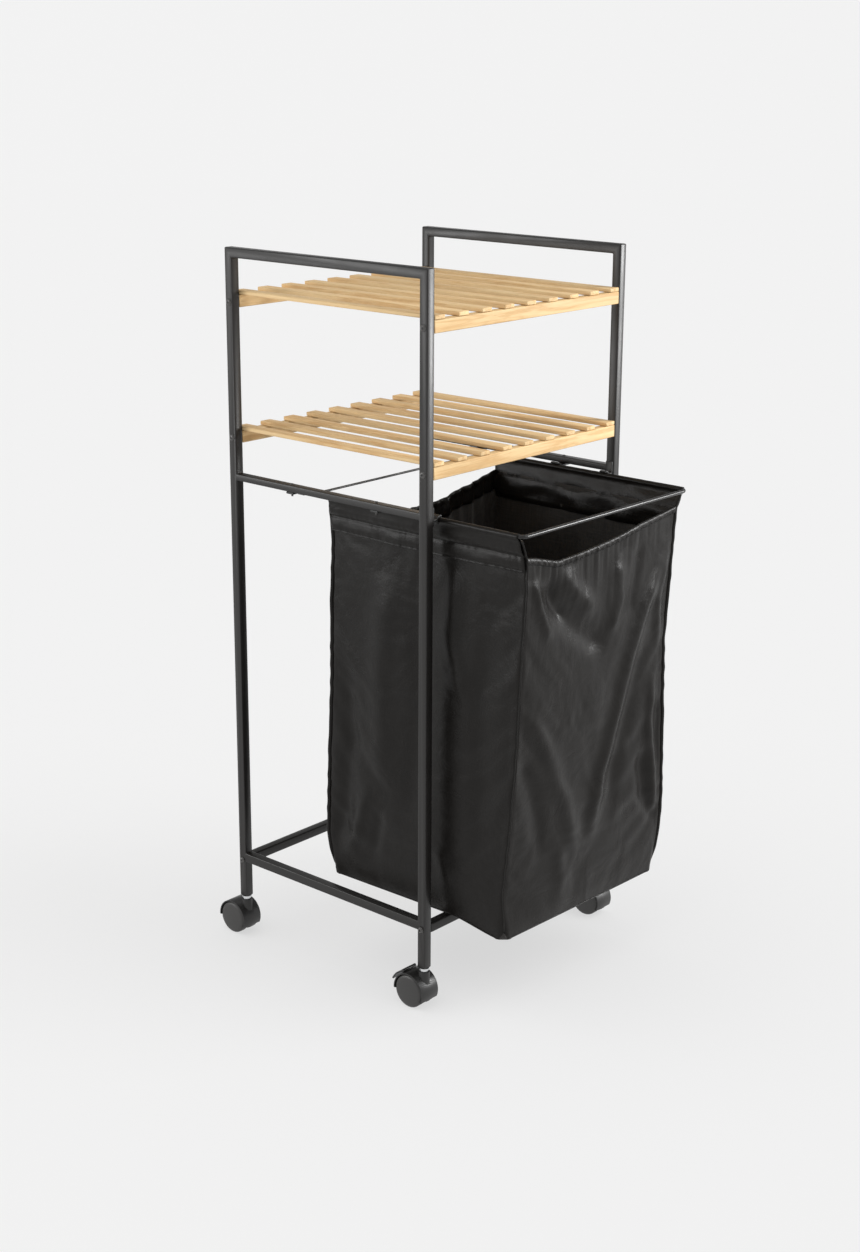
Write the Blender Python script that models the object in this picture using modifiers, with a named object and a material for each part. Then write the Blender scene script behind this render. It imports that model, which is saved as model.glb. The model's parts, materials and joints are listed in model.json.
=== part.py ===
"""Laundry sorter on wheels.

Two welded side frames of square tube are held apart by two bolted cross rails and by two
slatted pine shelves.  Under the lower shelf a fabric bag hangs in a wire frame that slides
out to the front in clips and hooks on the side frames.  Four twin-wheel casters carry it,
and the two at the front have a brake pedal.

Metres, +Z up, +X right as seen from the front, and the front faces -Y.  The origin is on the
floor, in the middle of the whole object's footprint with the bag pulled half way out.
"""
import math

import bmesh
import bpy
from mathutils import Matrix, Vector

# Driving dimensions
TUBE = 0.0127               # side of the square tube
TUBE_EDGE = 0.0016          # rounding along the tube's edges
TUBE_WALL = 0.0010
END_PLUG = 0.028            # solid end of a post round its caster's stem
RAIL_PLUG = 0.010           # solid end of a cross rail round its bolt
WIDTH = 0.384               # over the side frames
DEPTH = 0.340               # over the posts
TOP_Z = 0.938               # top of the handle rails
FOOT_Z = 0.056              # lower end of the posts
MID_RAIL_TOP = 0.650
MID_RAIL_HEIGHT = 0.0088
LOW_RAIL_TOP = 0.1207
CROSS_RAIL_TOP = 0.1160
GAP = 0.0003                # between pieces that touch

BATTEN_HEIGHT = 0.0155
SHELF_BOTTOMS = {"upper": 0.8625, "lower": 0.6890}
SLAT_WIDTH = 0.018
SLAT_THICKNESS = 0.0055
SLAT_COUNT = 9
SLAT_END_X = 0.1785         # outer edge of the first and last slat
WOOD_EDGE = 0.0006

WIRE_R = 0.0026             # bag frame's rod
REAR_WIRE_R = 0.0015
WIRE_HALF_WIDTH = 0.166     # from the middle plane to the rod's axis
WIRE_Z = 0.6386
WIRE_LENGTH = 0.335         # from the front bar's axis to the rear bar's
WIRE_CORNER_R = 0.009
BAG_OUT = 0.125             # how far the front bar stands in front of the posts

BAG_BOTTOM_Z = 0.1245
BAG_HALF_WIDTH = 0.1625
BAG_CORNER_R = 0.022
BAG_WALL = 0.002
BAG_MOUTH_DROP = 0.034      # hems of the front and rear panels, below the rods
BAG_REAR_CLEAR = 0.027      # from the rear bar to the rear panel

CLIP_INNER_R = 0.0043
CLIP_OUTER_R = 0.0063
CLIP_LENGTH = 0.012
CLIP_Y = (-0.083, 0.062)    # along the mid rails, from the frame's middle
HOOK_LENGTH = 0.010
WIRE_ARM_TOP = MID_RAIL_TOP - MID_RAIL_HEIGHT - WIRE_Z - GAP     # above the rod's axis

WHEEL_R = 0.0222
CASTER_HALF_WIDTH = 0.0155
CASTER_TRAIL = 0.0142       # from the stem's axis back to the axle
WEB_HALF = 0.0032           # hood's middle web, which carries the axle
FENDER_R = 0.0244           # outside of the hood over the wheels
BAY_R = 0.0229              # inside of the hood over the wheels
HOOD_TOP = 0.0508
AXLE_R = 0.0020
STEM_R = 0.0035
PIVOT_R = 0.0025            # the stem's lower end, on which the hood swivels
BORE_EXTRA = 0.00008        # how much wider a hole is than its pin
STEM_DEPTH = 0.030          # stem inside the post
FLANGE_R = 0.0066
WHEEL_STEPS = 32
PIN_STEPS = 16

PEDAL_HALF_WIDTH = 0.012    # the brake pedal, a curved plate behind the wheels
PEDAL_HINGE_ANGLE = 64      # round the axle, up from the rear
PEDAL_HINGE_R = FENDER_R + 0.0024
PEDAL_TIP_ANGLE = 14
PEDAL_THICKNESS = 0.0022
PEDAL_TIP_LIFT = 0.0042     # its tip stands this much further out than its hinge end

BOLT_R = 0.0024
BOLT_HEAD_R = 0.0046
BOLT_HEAD_HEIGHT = 0.0027
BOLT_REACH = 0.012          # into the cross rail

# Places worked out from them.  The bag's front and the rear wheels end the footprint.
FRONT_END = DEPTH / 2 + BAG_OUT + WIRE_R
REAR_END = DEPTH / 2 - TUBE / 2 + CASTER_TRAIL + FENDER_R
MID_Y = (FRONT_END - REAR_END) / 2          # the frame's middle, from the footprint's
POST_X = (WIDTH - TUBE) / 2
POST_Y = (DEPTH - TUBE) / 2
INNER_X = WIDTH / 2 - TUBE
WIRE_FRONT_Y = MID_Y - DEPTH / 2 - BAG_OUT
WIRE_REAR_Y = WIRE_FRONT_Y + WIRE_LENGTH
CORNERS = {
    "front_left": (-POST_X, MID_Y - POST_Y), "front_right": (POST_X, MID_Y - POST_Y),
    "rear_left": (-POST_X, MID_Y + POST_Y), "rear_right": (POST_X, MID_Y + POST_Y),
}

for old in list(bpy.data.objects):
    bpy.data.objects.remove(old, do_unlink=True)

parts = bpy.data.collections.new("laundry_sorter")
cutters = bpy.data.collections.new("cutters")
bpy.context.scene.collection.children.link(parts)
bpy.context.scene.collection.children.link(cutters)


def material(name, colour, roughness, metallic=0.0):
    mat = bpy.data.materials.new(name)
    mat.use_nodes = True
    shader = mat.node_tree.nodes["Principled BSDF"]
    shader.inputs["Base Color"].default_value = (*colour, 1.0)
    shader.inputs["Roughness"].default_value = roughness
    shader.inputs["Metallic"].default_value = metallic
    return mat


POWDER_COAT = material("powder_coat", (0.045, 0.044, 0.042), 0.42, 0.3)
PINE = material("pine", (0.84, 0.66, 0.42), 0.55)
BLACK_ROD = material("black_rod", (0.030, 0.030, 0.030), 0.25, 0.5)
BAG_CLOTH = material("bag_cloth", (0.040, 0.039, 0.037), 0.65)
NYLON = material("nylon", (0.035, 0.035, 0.034), 0.45)
CASTER_PLASTIC = material("caster_plastic", (0.040, 0.040, 0.038), 0.40)
WHEEL_PLASTIC = material("wheel_plastic", (0.060, 0.059, 0.056), 0.45)
ZINC = material("zinc", (0.75, 0.76, 0.77), 0.28, 1.0)
BLACK_STEEL = material("black_steel", (0.05, 0.05, 0.05), 0.35, 0.8)


def add_object(name, data, mat, collection=parts):
    obj = bpy.data.objects.new(name, data)
    collection.objects.link(obj)
    if mat is not None and not data.materials:
        data.materials.append(mat)
    if collection is cutters:
        obj.hide_render = True
        obj.display_type = "WIRE"
    return obj


def box_mesh(name, size):
    """A box about its own centre, at its full size, so that a bevel isn't stretched."""
    mesh = bpy.data.meshes.new(name)
    bm = bmesh.new()
    bmesh.ops.create_cube(bm, size=1.0, matrix=Matrix.Diagonal((*size, 1.0)))
    bm.to_mesh(mesh)
    bm.free()
    return mesh


def cylinder_mesh(name, radius, length, steps=PIN_STEPS, axis="Z"):
    turn = {"Z": Matrix(), "X": Matrix.Rotation(math.pi / 2, 4, "Y")}[axis]
    mesh = bpy.data.meshes.new(name)
    bm = bmesh.new()
    bmesh.ops.create_cone(bm, cap_ends=True, segments=steps, radius1=radius, radius2=radius,
                          depth=length, matrix=turn)
    bm.to_mesh(mesh)
    bm.free()
    return mesh


def add_bevel(obj, width, segments=1):
    bevel = obj.modifiers.new("edges", "BEVEL")
    bevel.width = width
    bevel.segments = segments
    bevel.limit_method = "ANGLE"
    bevel.angle_limit = math.radians(40)


def add_boolean(obj, tool, operation):
    cut = obj.modifiers.new("shape", "BOOLEAN")
    cut.operation = operation
    cut.object = tool


def final_mesh(obj):
    """The object's evaluated mesh, with loose caps welded; the object goes."""
    bpy.context.view_layer.update()
    graph = bpy.context.evaluated_depsgraph_get()
    mesh = bpy.data.meshes.new_from_object(obj.evaluated_get(graph))
    bm = bmesh.new()
    bm.from_mesh(mesh)
    bmesh.ops.remove_doubles(bm, verts=bm.verts, dist=1e-6)
    bm.to_mesh(mesh)
    bm.free()
    name = obj.name
    bpy.data.objects.remove(obj, do_unlink=True)
    mesh.name = name
    return mesh


def outline_mesh(name, loops, half_thickness):
    """A flat outline in XY, each loop a list of points, thickened along Z."""
    curve = bpy.data.curves.new(name, "CURVE")
    curve.dimensions = "2D"
    curve.fill_mode = "BOTH"
    curve.extrude = half_thickness
    for loop in loops:
        spline = curve.splines.new("POLY")
        spline.points.add(len(loop) - 1)
        for point, (x, y) in zip(spline.points, loop):
            point.co = (x, y, 0, 1)
        spline.use_cyclic_u = True
    return final_mesh(add_object(name + "_outline", curve, None, cutters))


def arc(centre, radius, start, end, steps):
    """Points along an arc, with the angles in degrees."""
    angles = [math.radians(start + (end - start) * i / steps) for i in range(steps + 1)]
    return [(centre[0] + radius * math.cos(a), centre[1] + radius * math.sin(a)) for a in angles]


def turned_mesh(name, profile, steps):
    """A turned body about Z: profile points (radius, z) run down the outside, top to bottom."""
    mesh = bpy.data.meshes.new(name)
    bm = bmesh.new()
    rows = [bm.verts.new((radius, 0, z)) for radius, z in profile]
    for upper, lower in zip(rows, rows[1:]):
        bm.edges.new((upper, lower))
    bm.to_mesh(mesh)
    bm.free()
    obj = add_object(name + "_profile", mesh, None, cutters)
    screw = obj.modifiers.new("turn", "SCREW")
    screw.steps = steps
    screw.render_steps = steps
    screw.use_merge_vertices = True
    screw.merge_threshold = 1e-5
    return final_mesh(obj)


def smooth(mesh, angle=35):
    mesh.shade_smooth()
    mesh.set_sharp_from_angle(angle=math.radians(angle))


# An outline drawn in (y, z) and thickened along X
TO_SIDE_VIEW = (math.pi / 2, 0, math.pi / 2)
# An outline drawn in (x, z) and thickened along Y
TO_FRONT_VIEW = (math.pi / 2, 0, 0)


def rectangle(y0, z0, y1, z1):
    return [(y0, z0), (y1, z0), (y1, z1), (y0, z1)]


def build_side_frames():
    """Posts, handle rail, mid rail and low rail, welded into one flat frame on each side."""
    half, inner = DEPTH / 2, DEPTH / 2 - TUBE
    low_under = LOW_RAIL_TOP - TUBE
    outside = [
        (-half, FOOT_Z), (-inner, FOOT_Z), (-inner, low_under), (inner, low_under),
        (inner, FOOT_Z), (half, FOOT_Z), (half, TOP_Z), (-half, TOP_Z),
    ]
    shelf_window = rectangle(-inner, MID_RAIL_TOP, inner, TOP_Z - TUBE)
    bag_window = rectangle(-inner, LOW_RAIL_TOP, inner, MID_RAIL_TOP - MID_RAIL_HEIGHT)
    w, wide, plug = TUBE_WALL, inner + TUBE_WALL, FOOT_Z + END_PLUG
    hollow = [
        (-half + w, plug), (-wide, plug), (-wide, low_under + w), (wide, low_under + w),
        (wide, plug), (half - w, plug), (half - w, TOP_Z - w), (-half + w, TOP_Z - w),
    ]
    hollow_windows = [
        rectangle(-wide, MID_RAIL_TOP - w, wide, TOP_Z - TUBE + w),
        rectangle(-wide, LOW_RAIL_TOP - w, wide, MID_RAIL_TOP - MID_RAIL_HEIGHT + w),
    ]
    for side, sign in (("left", -1), ("right", 1)):
        mesh = outline_mesh("side_frame_" + side, [outside, shelf_window, bag_window], TUBE / 2)
        frame = add_object("side_frame_" + side, mesh, POWDER_COAT)
        frame.location = (sign * POST_X, MID_Y, 0)
        frame.rotation_euler = TO_SIDE_VIEW
        add_bevel(frame, TUBE_EDGE, 2)
        inside = add_object("tube_inside_" + side,
                            outline_mesh("tube_inside", [hollow] + hollow_windows, TUBE / 2 - w),
                            None, cutters)
        inside.location = frame.location
        inside.rotation_euler = TO_SIDE_VIEW
        add_boolean(frame, inside, "DIFFERENCE")
        for end, y in (("front", -POST_Y), ("rear", POST_Y)):
            socket = add_object(f"stem_hole_{end}_{side}",
                                cylinder_mesh("stem_hole", STEM_R + BORE_EXTRA, 2 * STEM_DEPTH + 0.006),
                                None, cutters)
            socket.location = (sign * POST_X, MID_Y + y, FOOT_Z)
            bolt_hole = add_object(f"bolt_hole_{end}_{side}",
                                   cylinder_mesh("bolt_hole", BOLT_R + BORE_EXTRA, 2 * TUBE, axis="X"),
                                   None, cutters)
            bolt_hole.location = (sign * POST_X, MID_Y + y, CROSS_RAIL_TOP - TUBE / 2)
            add_boolean(frame, socket, "DIFFERENCE")
            add_boolean(frame, bolt_hole, "DIFFERENCE")


def build_cross_rails():
    """The two low rails between the side frames, and the bolts that hold them."""
    bolt_z = CROSS_RAIL_TOP - TUBE / 2
    length = 2 * (INNER_X - GAP)
    bolt = turned_mesh("frame_bolt", [
        (0.0, 0.0012), (0.0015, 0.0012), (0.0015, BOLT_HEAD_HEIGHT), (0.0026, BOLT_HEAD_HEIGHT - 0.0002),
        (BOLT_HEAD_R - 0.0007, 0.0014), (BOLT_HEAD_R, GAP), (BOLT_R, GAP),
        (BOLT_R, -TUBE - BOLT_REACH), (0.0, -TUBE - BOLT_REACH)], PIN_STEPS)
    smooth(bolt)
    for end, sign_y in (("front", -1), ("rear", 1)):
        y = MID_Y + sign_y * POST_Y
        rail = add_object(end + "_cross_rail", box_mesh("cross_rail", (length, TUBE, TUBE)), POWDER_COAT)
        rail.location = (0, y, bolt_z)
        add_bevel(rail, TUBE_EDGE, 2)
        inside = add_object(end + "_rail_inside",
                            box_mesh("rail_inside", (length - 2 * RAIL_PLUG, TUBE - 2 * TUBE_WALL,
                                                     TUBE - 2 * TUBE_WALL)), None, cutters)
        inside.location = rail.location
        add_boolean(rail, inside, "DIFFERENCE")
        for side, sign_x in (("left", -1), ("right", 1)):
            hole = add_object(f"rail_hole_{end}_{side}",
                              cylinder_mesh("rail_hole", BOLT_R + BORE_EXTRA, 2 * (BOLT_REACH + 0.002),
                                            axis="X"), None, cutters)
            hole.location = (sign_x * INNER_X, y, bolt_z)
            add_boolean(rail, hole, "DIFFERENCE")
            screw = add_object(f"frame_bolt_{end}_{side}", bolt, BLACK_STEEL)
            screw.location = (sign_x * WIDTH / 2, y, bolt_z)
            screw.rotation_euler = (0, sign_x * math.pi / 2, 0)


def build_shelves():
    """Front and rear battens between the posts, with nine slats laid across each pair."""
    slat_pitch = (2 * SLAT_END_X - SLAT_WIDTH) / (SLAT_COUNT - 1)
    for level, bottom in SHELF_BOTTOMS.items():
        for end, sign in (("front", -1), ("rear", 1)):
            size = (2 * (INNER_X - GAP), TUBE, BATTEN_HEIGHT)
            batten = add_object(f"{level}_batten_{end}", box_mesh("batten", size), PINE)
            batten.location = (0, MID_Y + sign * POST_Y, bottom + BATTEN_HEIGHT / 2)
            add_bevel(batten, WOOD_EDGE)
        slat_z = bottom + BATTEN_HEIGHT + GAP + (SLAT_THICKNESS - GAP) / 2
        for i in range(SLAT_COUNT):
            size = (SLAT_WIDTH, DEPTH, SLAT_THICKNESS - GAP)
            slat = add_object(f"{level}_slat_{i + 1}", box_mesh("slat", size), PINE)
            slat.location = (-SLAT_END_X + SLAT_WIDTH / 2 + i * slat_pitch, MID_Y, slat_z)
            add_bevel(slat, WOOD_EDGE)


def wire_curve(name, points, radius):
    curve = bpy.data.curves.new(name, "CURVE")
    curve.dimensions = "3D"
    curve.bevel_depth = radius
    curve.bevel_resolution = 2
    curve.use_fill_caps = True
    spline = curve.splines.new("POLY")
    spline.points.add(len(points) - 1)
    for point, place in zip(spline.points, points):
        point.co = (*place, 1)
    return curve


def build_bag_frame():
    """A rod bent round three sides, closed at the back by a thinner bar."""
    x, r = WIRE_HALF_WIDTH, WIRE_CORNER_R
    front, rear = WIRE_FRONT_Y, WIRE_REAR_Y
    bend_left = arc((-x + r, front + r), r, 180, 270, 4)
    bend_right = arc((x - r, front + r), r, 270, 360, 4)
    route = [(-x, rear + WIRE_R)] + bend_left + bend_right + [(x, rear + WIRE_R)]
    rod = add_object("bag_frame", final_mesh(add_object(
        "bag_frame_rod", wire_curve("rod", [(px, py, WIRE_Z) for px, py in route], WIRE_R),
        None, cutters)), BLACK_ROD)
    bar = add_object("bag_frame_bar", final_mesh(add_object(
        "rear_bar", wire_curve("bar", [(-x, rear, WIRE_Z), (x, rear, WIRE_Z)], REAR_WIRE_R),
        None, cutters)), None, cutters)
    add_boolean(rod, bar, "UNION")
    smooth(rod.data)


def bag_ring(half_x, front, rear, corner, side_z, end_z):
    """One level of the bag: a rounded rectangle, whose ends may hang lower than its sides."""
    ring = []
    for cx, cy, start in ((half_x - corner, rear - corner, 0), (-half_x + corner, rear - corner, 90),
                          (-half_x + corner, front + corner, 180), (half_x - corner, front + corner, 270)):
        for i, (px, py) in enumerate(arc((cx, cy), corner, start, start + 90, 3)):
            along = i / 3 if start in (0, 180) else 1 - i / 3
            ring.append(Vector((px, py, side_z + (end_z - side_z) * along)))
    return ring


def build_bag():
    """The hanging bag: open at the top, with lower hems at the front and the rear."""
    front_top, rear_top = WIRE_FRONT_Y + 0.003, WIRE_REAR_Y - BAG_REAR_CLEAR
    side_top = WIRE_Z + 0.0018
    rings = [
        bag_ring(BAG_HALF_WIDTH, front_top, rear_top, BAG_CORNER_R, side_top, WIRE_Z - BAG_MOUTH_DROP),
        bag_ring(BAG_HALF_WIDTH, front_top, rear_top, BAG_CORNER_R, WIRE_Z - 0.045, WIRE_Z - 0.055),
        bag_ring(BAG_HALF_WIDTH, front_top + 0.008, rear_top + 0.003, BAG_CORNER_R, 0.38, 0.38),
        bag_ring(BAG_HALF_WIDTH, front_top + 0.014, rear_top + 0.006, BAG_CORNER_R * 0.8, 0.15, 0.15),
        bag_ring(BAG_HALF_WIDTH - 0.008, front_top + 0.022, rear_top - 0.002, BAG_CORNER_R * 0.5,
                 BAG_BOTTOM_Z, BAG_BOTTOM_Z),
    ]
    mesh = bpy.data.meshes.new("laundry_bag")
    bm = bmesh.new()
    rows = [[bm.verts.new(place) for place in ring] for ring in rings]
    count = len(rows[0])
    for upper, lower in zip(rows, rows[1:]):
        for i in range(count):
            j = (i + 1) % count
            bm.faces.new((upper[j], upper[i], lower[i], lower[j]))
    bm.faces.new(list(reversed(rows[-1])))
    bmesh.ops.recalc_face_normals(bm, faces=bm.faces)
    bm.to_mesh(mesh)
    bm.free()
    bag = add_object("laundry_bag", mesh, BAG_CLOTH)
    wall = bag.modifiers.new("wall", "SOLIDIFY")
    wall.thickness = BAG_WALL
    wall.offset = -1
    wall.use_even_offset = True


def clip_outline(arm):
    """A hook round the rod, seen along the rod, with x pointing out to the side frame.

    It reaches over the rod and under its outer half, and leaves the inner side open."""
    arm_low, arm_high = -0.0004, WIRE_ARM_TOP
    angle_low = math.degrees(math.asin(arm_low / CLIP_OUTER_R))
    angle_high = math.degrees(math.asin(arm_high / CLIP_OUTER_R))
    inside = arc((0, 0), CLIP_INNER_R, -55, 120, 8)
    return (inside + arc((0, 0), CLIP_OUTER_R, 120, angle_high, 4) + arm
            + arc((0, 0), CLIP_OUTER_R, angle_low, -55, 3))


def build_guides():
    """Clips under the mid rails and hooks on the front posts, which carry the bag frame's rods."""
    to_face = INNER_X - WIRE_HALF_WIDTH
    under_rail = [(to_face + TUBE - 0.0015, WIRE_ARM_TOP), (to_face + TUBE - 0.0015, -0.0004)]
    face = to_face - GAP
    on_post = [(face - 0.002, WIRE_ARM_TOP), (face - 0.002, 0.017), (face, 0.017), (face, -0.006),
               (face - 0.002, -0.006), (face - 0.002, -0.0004)]
    kinds = [(f"guide_clip_{end}", y, under_rail, CLIP_LENGTH)
             for end, y in zip(("front", "rear"), CLIP_Y)]
    kinds.append(("front_hook", -POST_Y, on_post, HOOK_LENGTH))
    for name, y, arm, length in kinds:
        for side, sign in (("left", -1), ("right", 1)):
            loop = [(sign * px, pz) for px, pz in clip_outline(arm)]
            guide = add_object(f"{name}_{side}", outline_mesh(f"{name}_{side}", [loop], length / 2), NYLON)
            guide.location = (sign * WIRE_HALF_WIDTH, MID_Y + y, WIRE_Z)
            guide.rotation_euler = TO_FRONT_VIEW


def hood_mesh():
    """The caster's body: a middle web, a mudguard over each wheel and a round nose at the stem."""
    axle = (CASTER_TRAIL, WHEEL_R)
    side = (arc(axle, FENDER_R, -4, 98, 9)
            + [(0.0085, 0.0490), (0.0070, HOOD_TOP), (-0.0070, HOOD_TOP)]
            + [(-0.0105, 0.0490), (-0.0138, 0.0420), (-0.0153, 0.0330), (-0.0150, 0.0240), (-0.0138, 0.0195)]
            + [(CASTER_TRAIL - 0.0100, 0.0105), (CASTER_TRAIL + 0.0080, 0.0105)])
    body = add_object("hood_body", outline_mesh("hood_side", [side], CASTER_HALF_WIDTH), None, cutters)
    body.rotation_euler = TO_SIDE_VIEW
    w = CASTER_HALF_WIDTH
    plan = arc((0, 0), w, 180, 360, 12) + [(w, 0.05), (-w, 0.05)]
    nose = add_object("hood_plan", outline_mesh("hood_plan", [plan], 0.04), None, cutters)
    nose.location = (0, 0, 0.03)
    add_boolean(body, nose, "INTERSECT")
    bay_length = 0.03
    for sign in (-1, 1):
        bay = add_object("wheel_bay", cylinder_mesh("bay", BAY_R, bay_length, WHEEL_STEPS, "X"),
                         None, cutters)
        bay.location = (sign * (WEB_HALF + bay_length / 2), CASTER_TRAIL, WHEEL_R)
        add_boolean(body, bay, "DIFFERENCE")
    stem_hole = add_object("hood_stem_hole", cylinder_mesh("hole", PIVOT_R + BORE_EXTRA, 0.024),
                           None, cutters)
    stem_hole.location = (0, 0, HOOD_TOP)
    add_boolean(body, stem_hole, "DIFFERENCE")
    axle_hole = add_object("axle_hole", cylinder_mesh("hole", AXLE_R + BORE_EXTRA, 0.04, axis="X"),
                           None, cutters)
    axle_hole.location = (0, CASTER_TRAIL, WHEEL_R)
    add_boolean(body, axle_hole, "DIFFERENCE")
    bpy.context.view_layer.update()
    turn = body.matrix_world.copy()
    mesh = final_mesh(body)
    mesh.transform(turn)
    smooth(mesh)
    return mesh


def wheel_mesh():
    """One wheel, turned about its axle, with its smooth cap at the top and a blind hole below."""
    width = CASTER_HALF_WIDTH - WEB_HALF - GAP
    mesh = turned_mesh("wheel", [
        (0.0, width), (0.0172, width), (0.0206, width - 0.0006), (WHEEL_R, width - 0.0022),
        (WHEEL_R, 0.0014), (WHEEL_R - 0.0014, 0.0), (AXLE_R + BORE_EXTRA, 0.0),
        (AXLE_R + BORE_EXTRA, width - 0.003), (0.0, width - 0.003)], WHEEL_STEPS)
    smooth(mesh)
    return mesh


def stem_mesh():
    """The caster's stem: a pin up into the post, a flange under it and a pin down into the hood."""
    flange_low = HOOD_TOP + GAP - FOOT_Z
    mesh = turned_mesh("caster_stem", [
        (0.0, STEM_DEPTH), (STEM_R - 0.0008, STEM_DEPTH), (STEM_R, STEM_DEPTH - 0.0008),
        (STEM_R, -GAP), (FLANGE_R, -GAP), (FLANGE_R, -0.0026), (FLANGE_R - 0.0012, -0.0030),
        (FLANGE_R - 0.0012, flange_low), (PIVOT_R, flange_low), (PIVOT_R, flange_low - 0.010),
        (0.0, flange_low - 0.010)], PIN_STEPS)
    smooth(mesh)
    return mesh


def pedal_place():
    angle = math.radians(PEDAL_HINGE_ANGLE)
    return (CASTER_TRAIL + PEDAL_HINGE_R * math.cos(angle), WHEEL_R + PEDAL_HINGE_R * math.sin(angle))


def pedal_mesh():
    hinge_y, hinge_z = pedal_place()
    steps = 7
    inner, outer = [], []
    for i in range(steps + 1):
        along = i / steps
        angle = math.radians(PEDAL_HINGE_ANGLE - 6 + (PEDAL_TIP_ANGLE - PEDAL_HINGE_ANGLE + 6) * along)
        low = FENDER_R + 0.0009 + PEDAL_TIP_LIFT * along
        for radius, side in ((low, inner), (low + PEDAL_THICKNESS, outer)):
            side.append((CASTER_TRAIL + radius * math.cos(angle) - hinge_y,
                         WHEEL_R + radius * math.sin(angle) - hinge_z))
    barrel_start = PEDAL_HINGE_ANGLE - 60
    barrel = arc((0, 0), 0.0020, barrel_start, barrel_start + 240, 8)
    return outline_mesh("brake_pedal", [outer[::-1] + barrel + inner], PEDAL_HALF_WIDTH)


def build_casters():
    hood, wheel, stem, pedal = hood_mesh(), wheel_mesh(), stem_mesh(), pedal_mesh()
    axle = cylinder_mesh("axle", AXLE_R, 2 * (CASTER_HALF_WIDTH - 0.0045), axis="X")
    for corner, (x, y) in CORNERS.items():
        axle_place = (x, y + CASTER_TRAIL, WHEEL_R)
        add_object("caster_stem_" + corner, stem, ZINC).location = (x, y, FOOT_Z)
        add_object("caster_hood_" + corner, hood, CASTER_PLASTIC).location = (x, y, 0)
        add_object("axle_" + corner, axle, ZINC).location = axle_place
        for side, sign in (("left", -1), ("right", 1)):
            roller = add_object(f"wheel_{corner}_{side}", wheel, WHEEL_PLASTIC)
            roller.location = (x + sign * (WEB_HALF + GAP), y + CASTER_TRAIL, WHEEL_R)
            roller.rotation_euler = (0, sign * math.pi / 2, 0)
        if corner.startswith("front"):
            hinge_y, hinge_z = pedal_place()
            lever = add_object("brake_pedal_" + corner, pedal, CASTER_PLASTIC)
            lever.location = (x, y + hinge_y, hinge_z)
            lever.rotation_euler = TO_SIDE_VIEW


build_side_frames()
build_cross_rails()
build_shelves()
build_bag_frame()
build_bag()
build_guides()
build_casters()
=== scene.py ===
import json
import math

import bmesh
import bpy
import numpy as np
from mathutils import Matrix, Vector
from mathutils import noise

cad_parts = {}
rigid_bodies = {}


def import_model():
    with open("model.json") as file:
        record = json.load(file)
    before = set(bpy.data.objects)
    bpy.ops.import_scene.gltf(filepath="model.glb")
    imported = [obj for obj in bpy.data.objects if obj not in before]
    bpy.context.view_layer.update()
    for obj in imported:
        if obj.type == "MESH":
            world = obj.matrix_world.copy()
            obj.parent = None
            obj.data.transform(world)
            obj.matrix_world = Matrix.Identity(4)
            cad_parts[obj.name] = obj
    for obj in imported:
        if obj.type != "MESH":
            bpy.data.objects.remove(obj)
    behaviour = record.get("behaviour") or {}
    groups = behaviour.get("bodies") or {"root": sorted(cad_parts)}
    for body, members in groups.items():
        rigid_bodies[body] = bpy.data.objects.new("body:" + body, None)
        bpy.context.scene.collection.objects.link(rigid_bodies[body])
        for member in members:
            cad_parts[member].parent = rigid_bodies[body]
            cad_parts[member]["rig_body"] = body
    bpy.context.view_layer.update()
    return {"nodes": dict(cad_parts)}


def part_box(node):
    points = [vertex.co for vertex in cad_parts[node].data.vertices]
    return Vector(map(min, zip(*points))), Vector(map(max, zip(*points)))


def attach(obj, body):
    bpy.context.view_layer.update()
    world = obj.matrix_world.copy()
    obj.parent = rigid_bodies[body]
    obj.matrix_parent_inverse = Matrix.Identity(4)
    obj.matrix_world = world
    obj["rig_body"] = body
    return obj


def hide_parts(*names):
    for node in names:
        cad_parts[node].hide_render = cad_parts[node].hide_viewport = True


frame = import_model()
nodes = frame["nodes"]
print("frame loaded")

cameraView = {"place": (-1.8807, -1.6173, 1.1984), "turn": -48.6, "down": 16.91, "roll": 0.29,
              "lens": 56.39}


def addCamera(view):
    turn, down, roll = (math.radians(view[key]) for key in ("turn", "down", "roll"))
    ahead = Vector((-math.sin(turn) * math.cos(down), math.cos(turn) * math.cos(down), -math.sin(down)))
    right = ahead.cross(Vector((0, 0, 1))).normalized()
    up = right.cross(ahead)
    tiltedRight = right * math.cos(roll) + up * math.sin(roll)
    tiltedUp = up * math.cos(roll) - right * math.sin(roll)
    camera = bpy.data.objects.new("camera", bpy.data.cameras.new("camera"))
    camera.data.lens = view["lens"]
    camera.data.sensor_width = 36
    camera.data.clip_end = 60
    turnMatrix = Matrix((tiltedRight, tiltedUp, -ahead)).transposed().to_4x4()
    camera.matrix_world = Matrix.Translation(view["place"]) @ turnMatrix
    bpy.context.scene.collection.objects.link(camera)
    bpy.context.scene.camera = camera
    bpy.context.scene.view_settings.view_transform = "Standard"


addCamera(cameraView)


# helpers for node trees and meshes
def addNode(tree, kind, inputs=None, **settings):
    made = tree.nodes.new(kind)
    for key, value in settings.items():
        setattr(made, key, value)
    for key, value in (inputs or {}).items():
        if isinstance(value, bpy.types.NodeSocket):
            tree.links.new(value, made.inputs[key])
        else:
            made.inputs[key].default_value = value
    return made


def startGroup(name, inputs, outputs, kind="ShaderNodeTree"):
    group = bpy.data.node_groups.new(name, kind)
    for label, socketKind, value in inputs:
        socket = group.interface.new_socket(name=label, in_out="INPUT", socket_type=socketKind)
        if value is not None:
            socket.default_value = value
    for label, socketKind in outputs:
        group.interface.new_socket(name=label, in_out="OUTPUT", socket_type=socketKind)
    return group, group.nodes.new("NodeGroupInput"), group.nodes.new("NodeGroupOutput")


def useGroup(tree, group, inputs):
    return addNode(tree, "ShaderNodeGroup", inputs, node_tree=group)


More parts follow.
